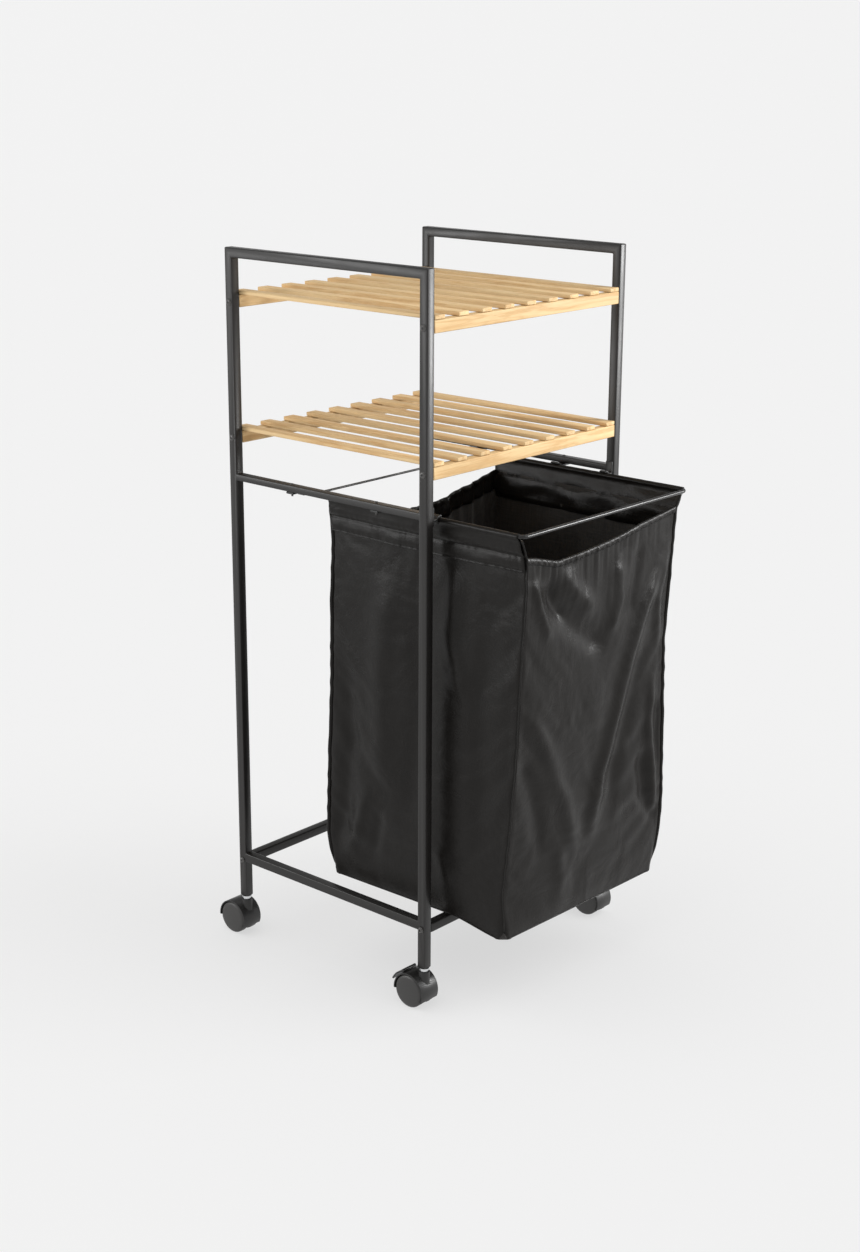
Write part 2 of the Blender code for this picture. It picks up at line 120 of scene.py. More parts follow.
def maths(tree, operation, *values):
    return addNode(tree, "ShaderNodeMath", dict(enumerate(values)), operation=operation).outputs[0]


def vectorMaths(tree, operation, *values):
    made = addNode(tree, "ShaderNodeVectorMath", dict(enumerate(values)), operation=operation)
    return made.outputs["Vector"]


def mapped(tree, value, fromLow, fromHigh, toLow=0.0, toHigh=1.0, **settings):
    made = addNode(tree, "ShaderNodeMapRange", {"Value": value, "From Min": fromLow, "From Max": fromHigh,
                                                "To Min": toLow, "To Max": toHigh}, **settings)
    return made.outputs["Result"]


def noiseOf(tree, vector, scale, detail, output="Fac", **more):
    inputs = {"Vector": vector, "Scale": scale, "Detail": detail, **more}
    return addNode(tree, "ShaderNodeTexNoise", inputs).outputs[output]


def wire(tree, node, sockets):
    for key, socket in sockets.items():
        tree.links.new(socket, node.inputs[key])


def ramp(tree, factor, stops):
    made = addNode(tree, "ShaderNodeValToRGB", {"Fac": factor})
    elements = made.color_ramp.elements
    while len(elements) < len(stops):
        elements.new(0.5)
    for element, (place, colour) in zip(elements, stops):
        element.position = place
        element.color = (*colour, 1.0)
    return made


def newMaterial(name, **values):
    mat = bpy.data.materials.new(name)
    mat.use_nodes = True
    shader = mat.node_tree.nodes["Principled BSDF"]
    for key, value in values.items():
        shader.inputs[key.replace("_", " ")].default_value = value
    return mat, mat.node_tree, shader


def objectFromMesh(name, mesh, mat):
    obj = bpy.data.objects.new(name, mesh)
    bpy.context.scene.collection.objects.link(obj)
    if mat is not None:
        mesh.materials.clear()
        mesh.materials.append(mat)
    return obj


def meshFromRows(name, rows, closed, mat, uvRows=None):
    # rows is an array (rows, columns, 3); closed joins the last column to the first
    rowCount, columnCount = len(rows), len(rows[0])
    mesh = bpy.data.meshes.new(name)
    points = np.asarray(rows, dtype=float).reshape(-1, 3)
    faces = []
    for i in range(rowCount - 1):
        for j in range(columnCount if closed else columnCount - 1):
            k = (j + 1) % columnCount
            faces.append((i * columnCount + j, (i + 1) * columnCount + j,
                          (i + 1) * columnCount + k, i * columnCount + k))
    mesh.from_pydata(points.tolist(), [], faces)
    if uvRows is not None:
        layer = mesh.uv_layers.new(name="cloth")
        flat = []
        width = columnCount + 1 if closed else columnCount
        for i in range(rowCount - 1):
            for j in range(columnCount if closed else columnCount - 1):
                for a, b in ((i, j), (i + 1, j), (i + 1, j + 1), (i, j + 1)):
                    flat.extend(uvRows[a][min(b, width - 1)])
        layer.data.foreach_set("uv", flat)
    mesh.shade_smooth()
    return objectFromMesh(name, mesh, mat)


def asMesh(obj):
    # what the modifiers make becomes the object's own mesh
    bpy.context.view_layer.update()
    graph = bpy.context.evaluated_depsgraph_get()
    mesh = bpy.data.meshes.new_from_object(obj.evaluated_get(graph))
    name, mats = obj.name, [slot.material for slot in obj.material_slots]
    bpy.data.objects.remove(obj, do_unlink=True)
    made = bpy.data.objects.new(name, mesh)
    bpy.context.scene.collection.objects.link(made)
    if not mesh.materials:
        for mat in mats:
            mesh.materials.append(mat)
    return made


def editMesh(mesh, change):
    bm = bmesh.new()
    bm.from_mesh(mesh)
    change(bm)
    bm.to_mesh(mesh)
    bm.free()


def lineObject(name, lines, cyclic=False):
    curve = bpy.data.curves.new(name, "CURVE")
    curve.dimensions = "3D"
    for line in lines:
        spline = curve.splines.new("POLY")
        spline.points.add(len(line) - 1)
        for point, place in zip(spline.points, line):
            point.co = (*place, 1)
        spline.use_cyclic_u = cyclic
    obj = bpy.data.objects.new(name, curve)
    bpy.context.scene.collection.objects.link(obj)
    return obj


def setInput(modifier, name, value):
    for item in modifier.node_group.interface.items_tree:
        if item.item_type == "SOCKET" and item.in_out == "INPUT" and item.name == name:
            modifier[item.identifier] = value
            return
    raise KeyError(name)


# shader groups that several finishes use
def makeGrainGroup():
    group, start, end = startGroup(
        "fineGrain",
        [("Vector", "NodeSocketVector", None), ("Scale", "NodeSocketFloat", 400.0),
         ("Depth", "NodeSocketFloat", 0.1), ("Unevenness", "NodeSocketFloat", 20.0)],
        [("Normal", "NodeSocketVector"), ("Patches", "NodeSocketFloat")])
    vector = start.outputs["Vector"]
    grain = noiseOf(group, vector, start.outputs["Scale"], 3.0)
    bump = addNode(group, "ShaderNodeBump", {"Height": grain, "Strength": start.outputs["Depth"],
                                             "Distance": 0.0004})
    wire(group, end, {"Normal": bump.outputs["Normal"],
                      "Patches": noiseOf(group, vector, start.outputs["Unevenness"], 4.0)})
    return group


def makeWoodGroup():
    # Vector runs along Y with the grain
    group, start, end = startGroup(
        "woodGrain",
        [("Vector", "NodeSocketVector", None), ("Pale", "NodeSocketColor", (0.86, 0.68, 0.42, 1)),
         ("Dark", "NodeSocketColor", (0.62, 0.36, 0.14, 1)), ("Contrast", "NodeSocketFloat", 0.5)],
        [("Color", "NodeSocketColor"), ("Roughness", "NodeSocketFloat"), ("Height", "NodeSocketFloat")])
    stretched = addNode(group, "ShaderNodeMapping", {"Vector": start.outputs["Vector"],
                                                     "Scale": (1.0, 0.055, 1.0)}).outputs["Vector"]
    rings = noiseOf(group, stretched, 130.0, 5.0, Roughness=0.62, Distortion=0.6)
    fibres = noiseOf(group, stretched, 900.0, 2.0)
    boards = noiseOf(group, stretched, 22.0, 1.0)
    bands = ramp(group, rings, [(0.36, (0, 0, 0)), (0.50, (0.25, 0.25, 0.25)),
                                (0.60, (1, 1, 1)), (0.68, (0.35, 0.35, 0.35))])
    colour = addNode(group, "ShaderNodeMix", {
        "Factor": maths(group, "MULTIPLY", bands.outputs["Color"], start.outputs["Contrast"])},
        data_type="RGBA")
    wire(group, colour, {"A": start.outputs["Pale"], "B": start.outputs["Dark"]})
    tone = maths(group, "MULTIPLY", mapped(group, boards, 0.3, 0.7, 0.86, 1.12),
                 mapped(group, fibres, 0.3, 0.7, 0.94, 1.04))
    toned = addNode(group, "ShaderNodeHueSaturation", {"Color": colour.outputs["Result"], "Value": tone})
    wire(group, end, {"Color": toned.outputs["Color"],
                      "Roughness": mapped(group, rings, 0.3, 0.7, 0.54, 0.68),
                      "Height": maths(group, "ADD", rings, fibres)})
    return group


def makeWeaveGroup():
    # Vector is in metres along the two thread directions
    group, start, end = startGroup(
        "plainWeave",
        [("Vector", "NodeSocketVector", None), ("Thread", "NodeSocketFloat", 600.0),
         ("Slub", "NodeSocketFloat", 0.5)],
        [("Height", "NodeSocketFloat"), ("Slubs", "NodeSocketFloat")])
    vector = start.outputs["Vector"]
    threads = [addNode(group, "ShaderNodeTexWave", {"Vector": vector, "Scale": start.outputs["Thread"]},
                       wave_type="BANDS", bands_direction=direction, wave_profile="SIN").outputs["Fac"]
               for direction in ("X", "Y")]
    slubs = [noiseOf(group, addNode(group, "ShaderNodeMapping", {"Vector": vector, "Scale": scale})
                     .outputs["Vector"], 700.0, 1.0) for scale in ((1.0, 0.05, 1.0), (0.05, 1.0, 1.0))]
    slubSum = maths(group, "ADD", *slubs)
    weave = maths(group, "MAXIMUM", *threads)
    wire(group, end, {"Height": maths(group, "MULTIPLY_ADD", slubSum, start.outputs["Slub"], weave),
                      "Slubs": maths(group, "MULTIPLY", slubSum, 0.5)})
    return group


def makeCreaseGroup():
    # sharp creases that run in three slanting directions, each in its own areas
    group, start, end = startGroup(
        "clothCreases",
        [("Vector", "NodeSocketVector", None), ("Scale", "NodeSocketFloat", 13.0),
         ("Stretch", "NodeSocketVector", (1.0, 0.20, 1.0))],
        [("Height", "NodeSocketFloat")])
    vector = start.outputs["Vector"]
    wander = vectorMaths(group, "SUBTRACT", noiseOf(group, vector, 7.0, 2.0, "Color"), (0.5, 0.5, 0.5))
    bent = vectorMaths(group, "ADD", vector, vectorMaths(group, "MULTIPLY", wander, (0.10, 0.10, 0.0)))
    areas = noiseOf(group, vector, 5.5, 1.0)
    total = 0.0
    for angle, low, high in ((34, 0.42, 0.60), (-28, 0.60, 0.42), (6, 0.50, 0.66)):
        turned = addNode(group, "ShaderNodeVectorRotate", {"Vector": bent, "Angle": math.radians(angle)},
                         rotation_type="Z_AXIS")
        stretched = vectorMaths(group, "MULTIPLY", turned.outputs["Vector"], start.outputs["Stretch"])
        ridges = noiseOf(group, stretched, start.outputs["Scale"], 1.0, Roughness=0.4)
        fold = maths(group, "ABSOLUTE", maths(group, "SUBTRACT", ridges, 0.5))
        sharp = mapped(group, fold, 0.0, 0.16, 1.0, 0.0, interpolation_type="SMOOTHSTEP")
        share = mapped(group, areas, low, high, interpolation_type="SMOOTHSTEP")
        total = maths(group, "ADD", maths(group, "MULTIPLY", sharp, share), total)
    wire(group, end, {"Height": total})
    return group


grainGroup, woodGroup, weaveGroup = makeGrainGroup(), makeWoodGroup(), makeWeaveGroup()
creaseGroup = makeCreaseGroup()


# finishes
def coatedFinish(name, colour, lift, roughness, scale, depth, spread=0.06, **values):
    # an opaque finish with a fine grain and slightly uneven tone and gloss
    mat, tree, shader = newMaterial(name, **values)
    place = addNode(tree, "ShaderNodeTexCoord")
    grain = useGroup(tree, grainGroup, {"Vector": place.outputs["Object"], "Scale": scale,
                                        "Depth": depth, "Unevenness": 14.0})
    patches = grain.outputs["Patches"]
    tint = addNode(tree, "ShaderNodeMix", {"Factor": patches}, data_type="RGBA")
    tint.inputs["A"].default_value = (*colour, 1)
    tint.inputs["B"].default_value = (*[c * lift for c in colour], 1)
    wire(tree, shader, {"Base Color": tint.outputs["Result"], "Normal": grain.outputs["Normal"],
                        "Roughness": mapped(tree, patches, 0.3, 0.7, roughness - spread,
                                            roughness + spread)})
    return mat


def woodFinish(name, alongX, finish):
    mat, tree, shader = newMaterial(name, Coat_Weight=0.03, Coat_Roughness=0.4, Specular_IOR_Level=0.32)
    place = addNode(tree, "ShaderNodeTexCoord")
    turned = addNode(tree, "ShaderNodeMapping", {"Vector": place.outputs["Object"],
                                                 "Rotation": (0, 0, math.pi / 2 if alongX else 0)})
    wood = useGroup(tree, woodGroup, {"Vector": turned.outputs["Vector"], "Pale": finish["pale"],
                                      "Dark": finish["dark"], "Contrast": finish["contrast"]})
    bump = addNode(tree, "ShaderNodeBump", {"Height": wood.outputs["Height"], "Strength": 0.12,
                                            "Distance": 0.0004})
    wire(tree, shader, {"Base Color": wood.outputs["Color"], "Roughness": wood.outputs["Roughness"],
                        "Normal": bump.outputs["Normal"]})
    return mat


def clothFinish(name, finish):
    mat, tree, shader = newMaterial(name, Specular_IOR_Level=finish["specular"],
                                    Sheen_Weight=finish["sheen"], Sheen_Roughness=0.45)
    uv = addNode(tree, "ShaderNodeUVMap", uv_map="cloth").outputs["UV"]
    weave = useGroup(tree, weaveGroup, {"Vector": uv, "Thread": finish["thread"],
                                        "Slub": finish["slub"]})
    place = addNode(tree, "ShaderNodeTexCoord")
    crumple = noiseOf(tree, place.outputs["Object"], 16.0, 5.0, Roughness=0.6, Distortion=1.2)
    colour = ramp(tree, weave.outputs["Slubs"], [(0.30, finish["dark"]), (0.72, finish["pale"])])
    folds = useGroup(tree, creaseGroup, {"Vector": uv})
    slack = addNode(tree, "ShaderNodeAttribute", attribute_name="slack")
    depth = maths(tree, "MULTIPLY", slack.outputs["Fac"], finish["folds"])
    height = maths(tree, "MULTIPLY_ADD", folds.outputs["Height"], depth, crumple)
    soft = addNode(tree, "ShaderNodeBump", {"Height": height, "Strength": finish["crease"],
                                            "Distance": 0.004})
    fine = addNode(tree, "ShaderNodeBump", {"Height": weave.outputs["Height"],
                                            "Strength": finish["weave"], "Distance": 0.0003,
                                            "Normal": soft.outputs["Normal"]})
    wire(tree, shader, {"Base Color": colour.outputs["Color"], "Normal": fine.outputs["Normal"],
                        "Roughness": mapped(tree, crumple, 0.3, 0.7, finish["roughness"] - 0.05,
                                            finish["roughness"] + 0.06)})
    return mat


woodTone = {"pale": (0.76, 0.545, 0.285, 1), "dark": (0.52, 0.28, 0.095, 1), "contrast": 0.62}
satin = {"dark": (0.0064, 0.0055, 0.0047), "pale": (0.0100, 0.0088, 0.0077), "thread": 900.0,
         "slub": 0.5, "roughness": 0.31, "crease": 0.30, "folds": 0.50, "weave": 0.10,
         "specular": 0.17, "sheen": 0.0}
wrongSide = {"dark": (0.012, 0.0112, 0.0103), "pale": (0.040, 0.037, 0.034), "thread": 420.0,
             "slub": 0.9, "roughness": 0.78, "crease": 0.2, "folds": 0.5, "weave": 0.4,
             "specular": 0.3, "sheen": 0.2}

powderCoat = coatedFinish("powderCoat", (0.0115, 0.0105, 0.0098), 1.35, 0.36, 620.0, 0.10,
                          Specular_IOR_Level=0.42)
rodGloss = coatedFinish("rodGloss", (0.008, 0.0077, 0.0074), 1.3, 0.30, 500.0, 0.02, spread=0.02,
                        Specular_IOR_Level=0.45)
nylonBlack = coatedFinish("nylonBlack", (0.012, 0.012, 0.0116), 1.4, 0.46, 900.0, 0.12)
casterPlastic = coatedFinish("casterPlastic", (0.011, 0.0106, 0.0102), 1.4, 0.40, 1100.0, 0.12)
wheelPlastic = coatedFinish("wheelPlastic", (0.026, 0.025, 0.0238), 1.3, 0.44, 1100.0, 0.16)
zincPlate = coatedFinish("zincPlate", (0.66, 0.67, 0.68), 1.15, 0.26, 300.0, 0.05, Metallic=1.0)
blackSteel = coatedFinish("blackSteel", (0.052, 0.050, 0.048), 1.5, 0.22, 500.0, 0.05)
pineAlongY = woodFinish("pineAlongY", False, woodTone)
pineAlongX = woodFinish("pineAlongX", True, woodTone)
bagSatin = clothFinish("bagSatin", satin)
bagWrongSide = clothFinish("bagWrongSide", wrongSide)

nodeFinishes = {"side_frame": powderCoat, "cross_rail": powderCoat, "frame_bolt": blackSteel,
                "batten": pineAlongX, "slat": pineAlongY, "guide_clip": nylonBlack,
                "front_hook": nylonBlack, "caster_hood": casterPlastic, "brake_pedal": casterPlastic,
                "wheel": wheelPlastic, "axle": zincPlate, "caster_stem": zincPlate}
for nodeName, nodeObject in nodes.items():
    for label, finish in nodeFinishes.items():
        if label in nodeName:
            for slot in nodeObject.material_slots:
                slot.material = finish
print("finishes made")


# rounded edges on the hard parts: each kind's edge radius and its slot
edges = {"side_frame": (0.0011, "powder_coat"), "cross_rail": (0.0011, "powder_coat"),
         "batten": (0.0012, "pine"), "slat": (0.0016, "pine"),
         "brake_pedal": (0.0006, "caster_plastic"), "wheel": (0.0010, "wheel_plastic"),
         "guide_clip": (0.0006, "nylon"), "front_hook": (0.0005, "nylon"),
         "frame_bolt": (0.0006, "black_steel")}


def roundEdges(nodeName, radius):
    source = nodes[nodeName]
    mesh = source.data.copy()

    def joinFlats(bm):
        bmesh.ops.remove_doubles(bm, verts=bm.verts, dist=1e-5)
        bmesh.ops.dissolve_limit(bm, angle_limit=math.radians(0.8), verts=bm.verts, edges=bm.edges)

    editMesh(mesh, joinFlats)
    mesh.shade_smooth()
    piece = bpy.data.objects.new(nodeName + "_rounded", mesh)
    bpy.context.scene.collection.objects.link(piece)
    bevel = piece.modifiers.new("edges", "BEVEL")
    bevel.width, bevel.segments, bevel.limit_method = radius, 3, "ANGLE"
    bevel.angle_limit = math.radians(38)
    bevel.harden_normals = True
    piece = asMesh(piece)
    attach(piece, source["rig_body"])
    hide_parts(nodeName)


for nodeName in nodes:
    for label, (radius, slotName) in edges.items():
        if label in nodeName:
            roundEdges(nodeName, radius)
print("edges rounded")


# caster hoods: a round cover over both wheels, with a collar for the stem
hood = {"radius": 0.0244, "bay": 0.0229, "halfWidth": 0.0155, "web": 0.0032, "trail": 0.0142,
        "axle": 0.0222, "top": 0.0508, "collar": 0.0072, "rearSkirt": 0.0205, "frontSkirt": 0.0120,
        "webFoot": 0.0105, "stemHole": 0.00258, "axleHole": 0.00208, "edge": 0.0006}


def block(build):
    mesh = bpy.data.meshes.new("block")
    editMesh(mesh, build)
    return objectFromMesh("block", mesh, None)


def roundBlock(radius, depth, place, alongX, segments=72):
    turn = Matrix.Rotation(math.pi / 2, 4, "Y") if alongX else Matrix.Identity(4)
    return block(lambda bm: bmesh.ops.create_cone(
        bm, cap_ends=True, segments=segments, radius1=radius, radius2=radius, depth=depth,
        matrix=Matrix.Translation(place) @ turn))


def squareBlock(low, high):
    def build(bm):
        bmesh.ops.create_cube(bm, size=1.0)
        for vert in bm.verts:
            vert.co = [low[k] if vert.co[k] < 0 else high[k] for k in range(3)]

    return block(build)


def hoodMesh():
    centre = (0, hood["trail"], hood["axle"])
    body = roundBlock(hood["radius"], 2 * hood["halfWidth"], centre, True, 96)
    low = hood["axle"] + 0.004
    collar = roundBlock(hood["collar"], hood["top"] - low, (0, 0, (hood["top"] + low) / 2), False)
    shapes = [(collar, "UNION")]
    for sign in (-1, 1):
        depth = 0.03
        place = (sign * (hood["web"] + depth / 2), centre[1], centre[2])
        shapes.append((roundBlock(hood["bay"], depth, place, True, 96), "DIFFERENCE"))
        near, far = sorted((sign * hood["web"], sign * 0.05))
        for start, end, foot in ((-0.05, centre[1], "frontSkirt"), (centre[1], 0.08, "rearSkirt")):
            shapes.append((squareBlock((near, start, -0.05), (far, end, hood[foot])), "DIFFERENCE"))
    shapes.append((squareBlock((-0.02, -0.05, -0.05), (0.02, 0.08, hood["webFoot"])), "DIFFERENCE"))
    shapes.append((roundBlock(hood["stemHole"], 0.024, (0, 0, hood["top"]), False, 24), "DIFFERENCE"))
    shapes.append((roundBlock(hood["axleHole"], 0.04, centre, True, 24), "DIFFERENCE"))
    for other, kind in shapes:
        change = body.modifiers.new("shape", "BOOLEAN")
        change.object, change.operation = other, kind
    bevel = body.modifiers.new("edges", "BEVEL")
    bevel.width, bevel.segments, bevel.limit_method = hood["edge"], 2, "ANGLE"
    bevel.angle_limit = math.radians(40)
    body.data.shade_smooth()
    made = asMesh(body)
    for other, _ in shapes:
        bpy.data.objects.remove(other, do_unlink=True)
    made.data.shade_smooth()
    made.data.set_sharp_from_angle(angle=math.radians(32))
    mesh = made.data
    bpy.data.objects.remove(made, do_unlink=True)
    return mesh


hoodShape = hoodMesh()
for nodeName in nodes:
    if nodeName.startswith("caster_hood_"):
        stemLow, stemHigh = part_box(nodeName.replace("caster_hood", "caster_stem"))
        mesh = hoodShape.copy()
        mesh.transform(Matrix.Translation(((stemLow.x + stemHigh.x) / 2, (stemLow.y + stemHigh.y) / 2, 0)))
        cover = objectFromMesh(nodeName + "_cover", mesh, casterPlastic)
        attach(cover, nodes[nodeName]["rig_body"])
        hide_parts(nodeName)
print("hoods made")


# the bag's wire frame, smooth where the plain one has flats
rodLow, rodHigh = (Vector(v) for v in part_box("bag_frame"))
rod = {"radius": 0.0026, "bend": 0.009, "rearRadius": 0.0015}
rodX = rodHigh.x - rod["radius"]
rodFront, rodRear = rodLow.y + rod["radius"], rodHigh.y - rod["radius"]
rodZ = (rodLow.z + rodHigh.z) / 2
frameMiddleY = sum(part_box("side_frame_left")[i][1] for i in (0, 1)) / 2


def tube(name, points, radius, mat, sides=6, cyclic=False):
    obj = lineObject(name, [points], cyclic)
    obj.data.bevel_depth = radius
    obj.data.bevel_resolution = sides
    obj.data.use_fill_caps = not cyclic
    made = asMesh(obj)

    def weld(bm):
        bmesh.ops.remove_doubles(bm, verts=bm.verts, dist=1e-6)
        bmesh.ops.recalc_face_normals(bm, faces=bm.faces)

    editMesh(made.data, weld)
    made.data.shade_smooth()
    made.data.set_sharp_from_angle(angle=math.radians(40))
    made.data.materials.clear()
    made.data.materials.append(mat)
    return made


def arcPoints(centreX, centreY, radius, start, end, steps, z):
    angles = [math.radians(start + (end - start) * i / steps) for i in range(steps + 1)]
    return [(centreX + radius * math.cos(a), centreY + radius * math.sin(a), z) for a in angles]


def bagFrameRods():
    bend = rod["bend"]
    route = [(-rodX, rodRear + 0.0026, rodZ), (-rodX, (rodRear + rodFront) / 2, rodZ)]
    route += arcPoints(-rodX + bend, rodFront + bend, bend, 180, 270, 10, rodZ)
    route += arcPoints(rodX - bend, rodFront + bend, bend, 270, 360, 10, rodZ)
    route += [(rodX, (rodRear + rodFront) / 2, rodZ), (rodX, rodRear + 0.0026, rodZ)]
    bent = tube("bagFrameRod", route, rod["radius"], rodGloss)
    across = tube("bagFrameRearBar", [(-rodX, rodRear, rodZ), (rodX, rodRear, rodZ)],
                  rod["rearRadius"], rodGloss, 5)
    for piece in (bent, across):
        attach(piece, "bag_carriage")
    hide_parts("bag_frame")


bagFrameRods()
print("wire frame made")


# the bag; heights in its outlines are from the posts' feet, and y is from the middle of the posts
bag = {"rows": 60, "frontColumns": 40, "sideColumns": 36, "bulge": 0.006, "wall": 0.0007,
       "frontSlack": 0.050, "sideSlack": 0.020, "hemSlack": 0.030, "pressure": 0.18, "frames": 40,
       "gather": 0.0014, "rearGather": 0.0034, "seamWave": 0.0007, "round": 0.010, "foldDepth": 1.2,
       "frontSag": 0.0105, "sagFrom": -0.128, "sagOver": 0.090}
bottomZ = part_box("laundry_bag")[0][2]
footZ = 0.056
frontLeft = {"z": (0.068, 0.1065, 0.20, 0.31, 0.41, 0.51, 0.552, 0.583), "top": 0.5555,
             "x": (-0.155, -0.158, -0.160, -0.160, -0.160, -0.158, -0.158, -0.161),
             "y": (-0.269, -0.267, -0.2787, -0.2875, -0.2912, -0.2961, -0.2950, -0.292)}
frontRight = {"z": (0.068, 0.10, 0.1617, 0.2756, 0.3865, 0.492, 0.5586, 0.583), "top": 0.5610,
              "x": (0.153, 0.1545, 0.1520, 0.1475, 0.1455, 0.1530, 0.1560, 0.161),
              "y": (-0.277, -0.280, -0.2835, -0.2830, -0.2820, -0.2830, -0.2850, -0.290)}
rearLeft = {"z": (0.068, 0.10, 0.1437, 0.229, 0.34, 0.448, 0.527, 0.578), "top": 0.5620,
            "x": (-0.160, -0.162, -0.162, -0.162, -0.162, -0.162, -0.161, -0.162),
            "y": (0.0250, 0.0270, 0.0250, 0.0215, 0.0165, 0.0150, 0.0125, 0.0165)}
rearRight = {"z": (0.068, 0.10, 0.1437, 0.229, 0.34, 0.448, 0.527, 0.578), "top": 0.5630,
             "x": (0.160, 0.162, 0.162, 0.162, 0.162, 0.162, 0.161, 0.162),
             "y": (0.0230, 0.0245, 0.0240, 0.0205, 0.0175, 0.0150, 0.0145, 0.0165)}
frontHem = {"x": (-0.160, -0.141, -0.099, -0.060, 0.0058, 0.0367, 0.0758, 0.1405, 0.160),
            "z": (0.5555, 0.5519, 0.5404, 0.5410, 0.5449, 0.5476, 0.5531, 0.5586, 0.561)}
rearHem = {"x": (-0.160, -0.131, -0.083, -0.028, 0.0284, 0.0526, 0.0833, 0.1146, 0.1314, 0.160),
           "z": (0.5620, 0.5560, 0.5470, 0.5400, 0.5392, 0.5418, 0.5490, 0.5534, 0.5576, 0.563)}
panels = [(frontLeft, frontRight, bag["frontColumns"], frontHem, 1.0),
          (frontRight, rearRight, bag["sideColumns"], None, 0.3),
          (rearRight, rearLeft, bag["frontColumns"], rearHem, 0.4),
          (rearLeft, frontLeft, bag["sideColumns"], None, 0.3)]
cornerColumns = [sum(panel[2] for panel in panels[:i]) for i in range(4)]


def cornerAt(corner, z):
    wave = bag["seamWave"] * math.sin(z * 170 + 3 * math.sin(z * 37 + corner["x"][0] * 40))
    return np.array([np.interp(z, corner["z"], corner["x"]) + math.copysign(wave, corner["x"][0]),
                     np.interp(z, corner["z"], corner["y"]) - wave * 0.6, z])


def footAt(y):
    # the base rests at one height over the cross rails and sags where it sticks out in front
    share = min(1.0, max(0.0, (bag["sagFrom"] - y) / bag["sagOver"]))
    return bottomZ - bag["frontSag"] * share * share * (3 - 2 * share)


def wallGrid():
    # rows run down; columns run along the front, the right side, the rear and the left side
    columns = []
    for start, end, count, hem, swell in panels:
        for i in range(count):
            t = i / count
            footY = cornerAt(start, 0.07)[1] * (1 - t) + cornerAt(end, 0.07)[1] * t
            low = footAt(footY + frameMiddleY) - footZ
            high = start["top"] * (1 - t) + end["top"] * t
            if hem is not None:
                x = cornerAt(start, 0.55)[0] * (1 - t) + cornerAt(end, 0.55)[0] * t
                high = float(np.interp(x, hem["x"], hem["z"]))
            column = []
            for row in range(bag["rows"] + 1):
                s = row / bag["rows"]
                z = high + (low - high) * s
                a, b = cornerAt(start, z), cornerAt(end, z)
                along = b - a
                outward = np.array([along[1], -along[0], 0.0]) / math.hypot(along[0], along[1])
                out = swell * bag["bulge"] * math.sin(math.pi * t) * math.sin(math.pi * (0.1 + 0.85 * s))
                column.append(a + along * t + outward * out)
            columns.append(column)
    grid = roundFeet(np.array(columns).transpose(1, 0, 2))
    return grid + np.array([0, frameMiddleY, footZ])


def roundFeet(grid):
    # the lower corners are cut round, so the base seam rises towards each corner
    columns = grid.shape[1]
    columnWidth, middleY = 0.0083, -0.13
    for j in range(columns):
        away = min(min(abs(j - k), columns - abs(j - k)) for k in cornerColumns)
        distance = away * columnWidth
        if distance < bag["round"]:
            rise = bag["round"] - math.sqrt(bag["round"] ** 2 - (bag["round"] - distance) ** 2)
            high, low = grid[0, j, 2], grid[-1, j, 2]
            grid[:, j, 2] = high + (grid[:, j, 2] - high) * (high - low - rise) / (high - low)
            pull = 1 - 0.020 * (rise / bag["round"]) * np.linspace(0, 1, len(grid)) ** 24
            grid[:, j, 0] *= pull
            grid[:, j, 1] = middleY + (grid[:, j, 1] - middleY) * pull
    return grid


def settleCloth(grid):
    # the panels are cut wider than the space between their seams, so they fold as they hang
    rows, columns = grid.shape[:2]
    start = grid.copy()
    middle = np.array([0, frameMiddleY - 0.13, 0])
    for i in range(1, rows - 1):
        for j in range(columns):
            if j not in cornerColumns:
                push = noise.noise(Vector(grid[i, j]) * 13.0 + Vector((3.1, 7.7, 0.4))) * 0.004
                out = (grid[i, j] - middle) * (1, 1, 0)
                start[i, j] += out / np.linalg.norm(out) * push
    cut = start.copy()
    hem = np.exp(-np.arange(rows) / rows / 0.10)[:, None]
    foot = 1 - np.exp(-np.arange(rows)[::-1] / 6)[:, None]
    cut[:, :, 0] *= 1 + bag["frontSlack"] * foot + bag["hemSlack"] * hem
    cut[:, :, 1] = middle[1] + (cut[:, :, 1] - middle[1]) * (1 + bag["sideSlack"] * foot)
    obj = meshFromRows("bagDrape", start, True, None)
    obj.shape_key_add(name="hung")
    key = obj.shape_key_add(name="cut")
    key.data.foreach_set("co", cut.reshape(-1))
    pins = obj.vertex_groups.new(name="seams")
    pins.add([i * columns + j for i in range(rows) for j in range(columns)
              if i in (0, rows - 1) or j in cornerColumns], 1.0, "REPLACE")
    cloth = obj.modifiers.new("drape", "CLOTH")
    values = {"quality": 6, "mass": 0.08, "air_damping": 2.0, "tension_stiffness": 25,
              "compression_stiffness": 12, "shear_stiffness": 10, "bending_stiffness": 0.22,
              "vertex_group_mass": "seams", "rest_shape_key": key, "use_pressure": True,
              "uniform_pressure_force": bag["pressure"]}
    for name, value in values.items():
        setattr(cloth.settings, name, value)
    cloth.collision_settings.use_collision = False
    cloth.point_cache.frame_start = 1
    cloth.point_cache.frame_end = bag["frames"]
    for step in range(1, bag["frames"] + 1):
        bpy.context.scene.frame_set(step)
    mesh = obj.evaluated_get(bpy.context.evaluated_depsgraph_get()).to_mesh()
    points = np.zeros(len(mesh.vertices) * 3)
    mesh.vertices.foreach_get("co", points)
    bpy.context.scene.frame_set(1)
    bpy.data.objects.remove(obj, do_unlink=True)
    return points.reshape(rows, columns, 3)


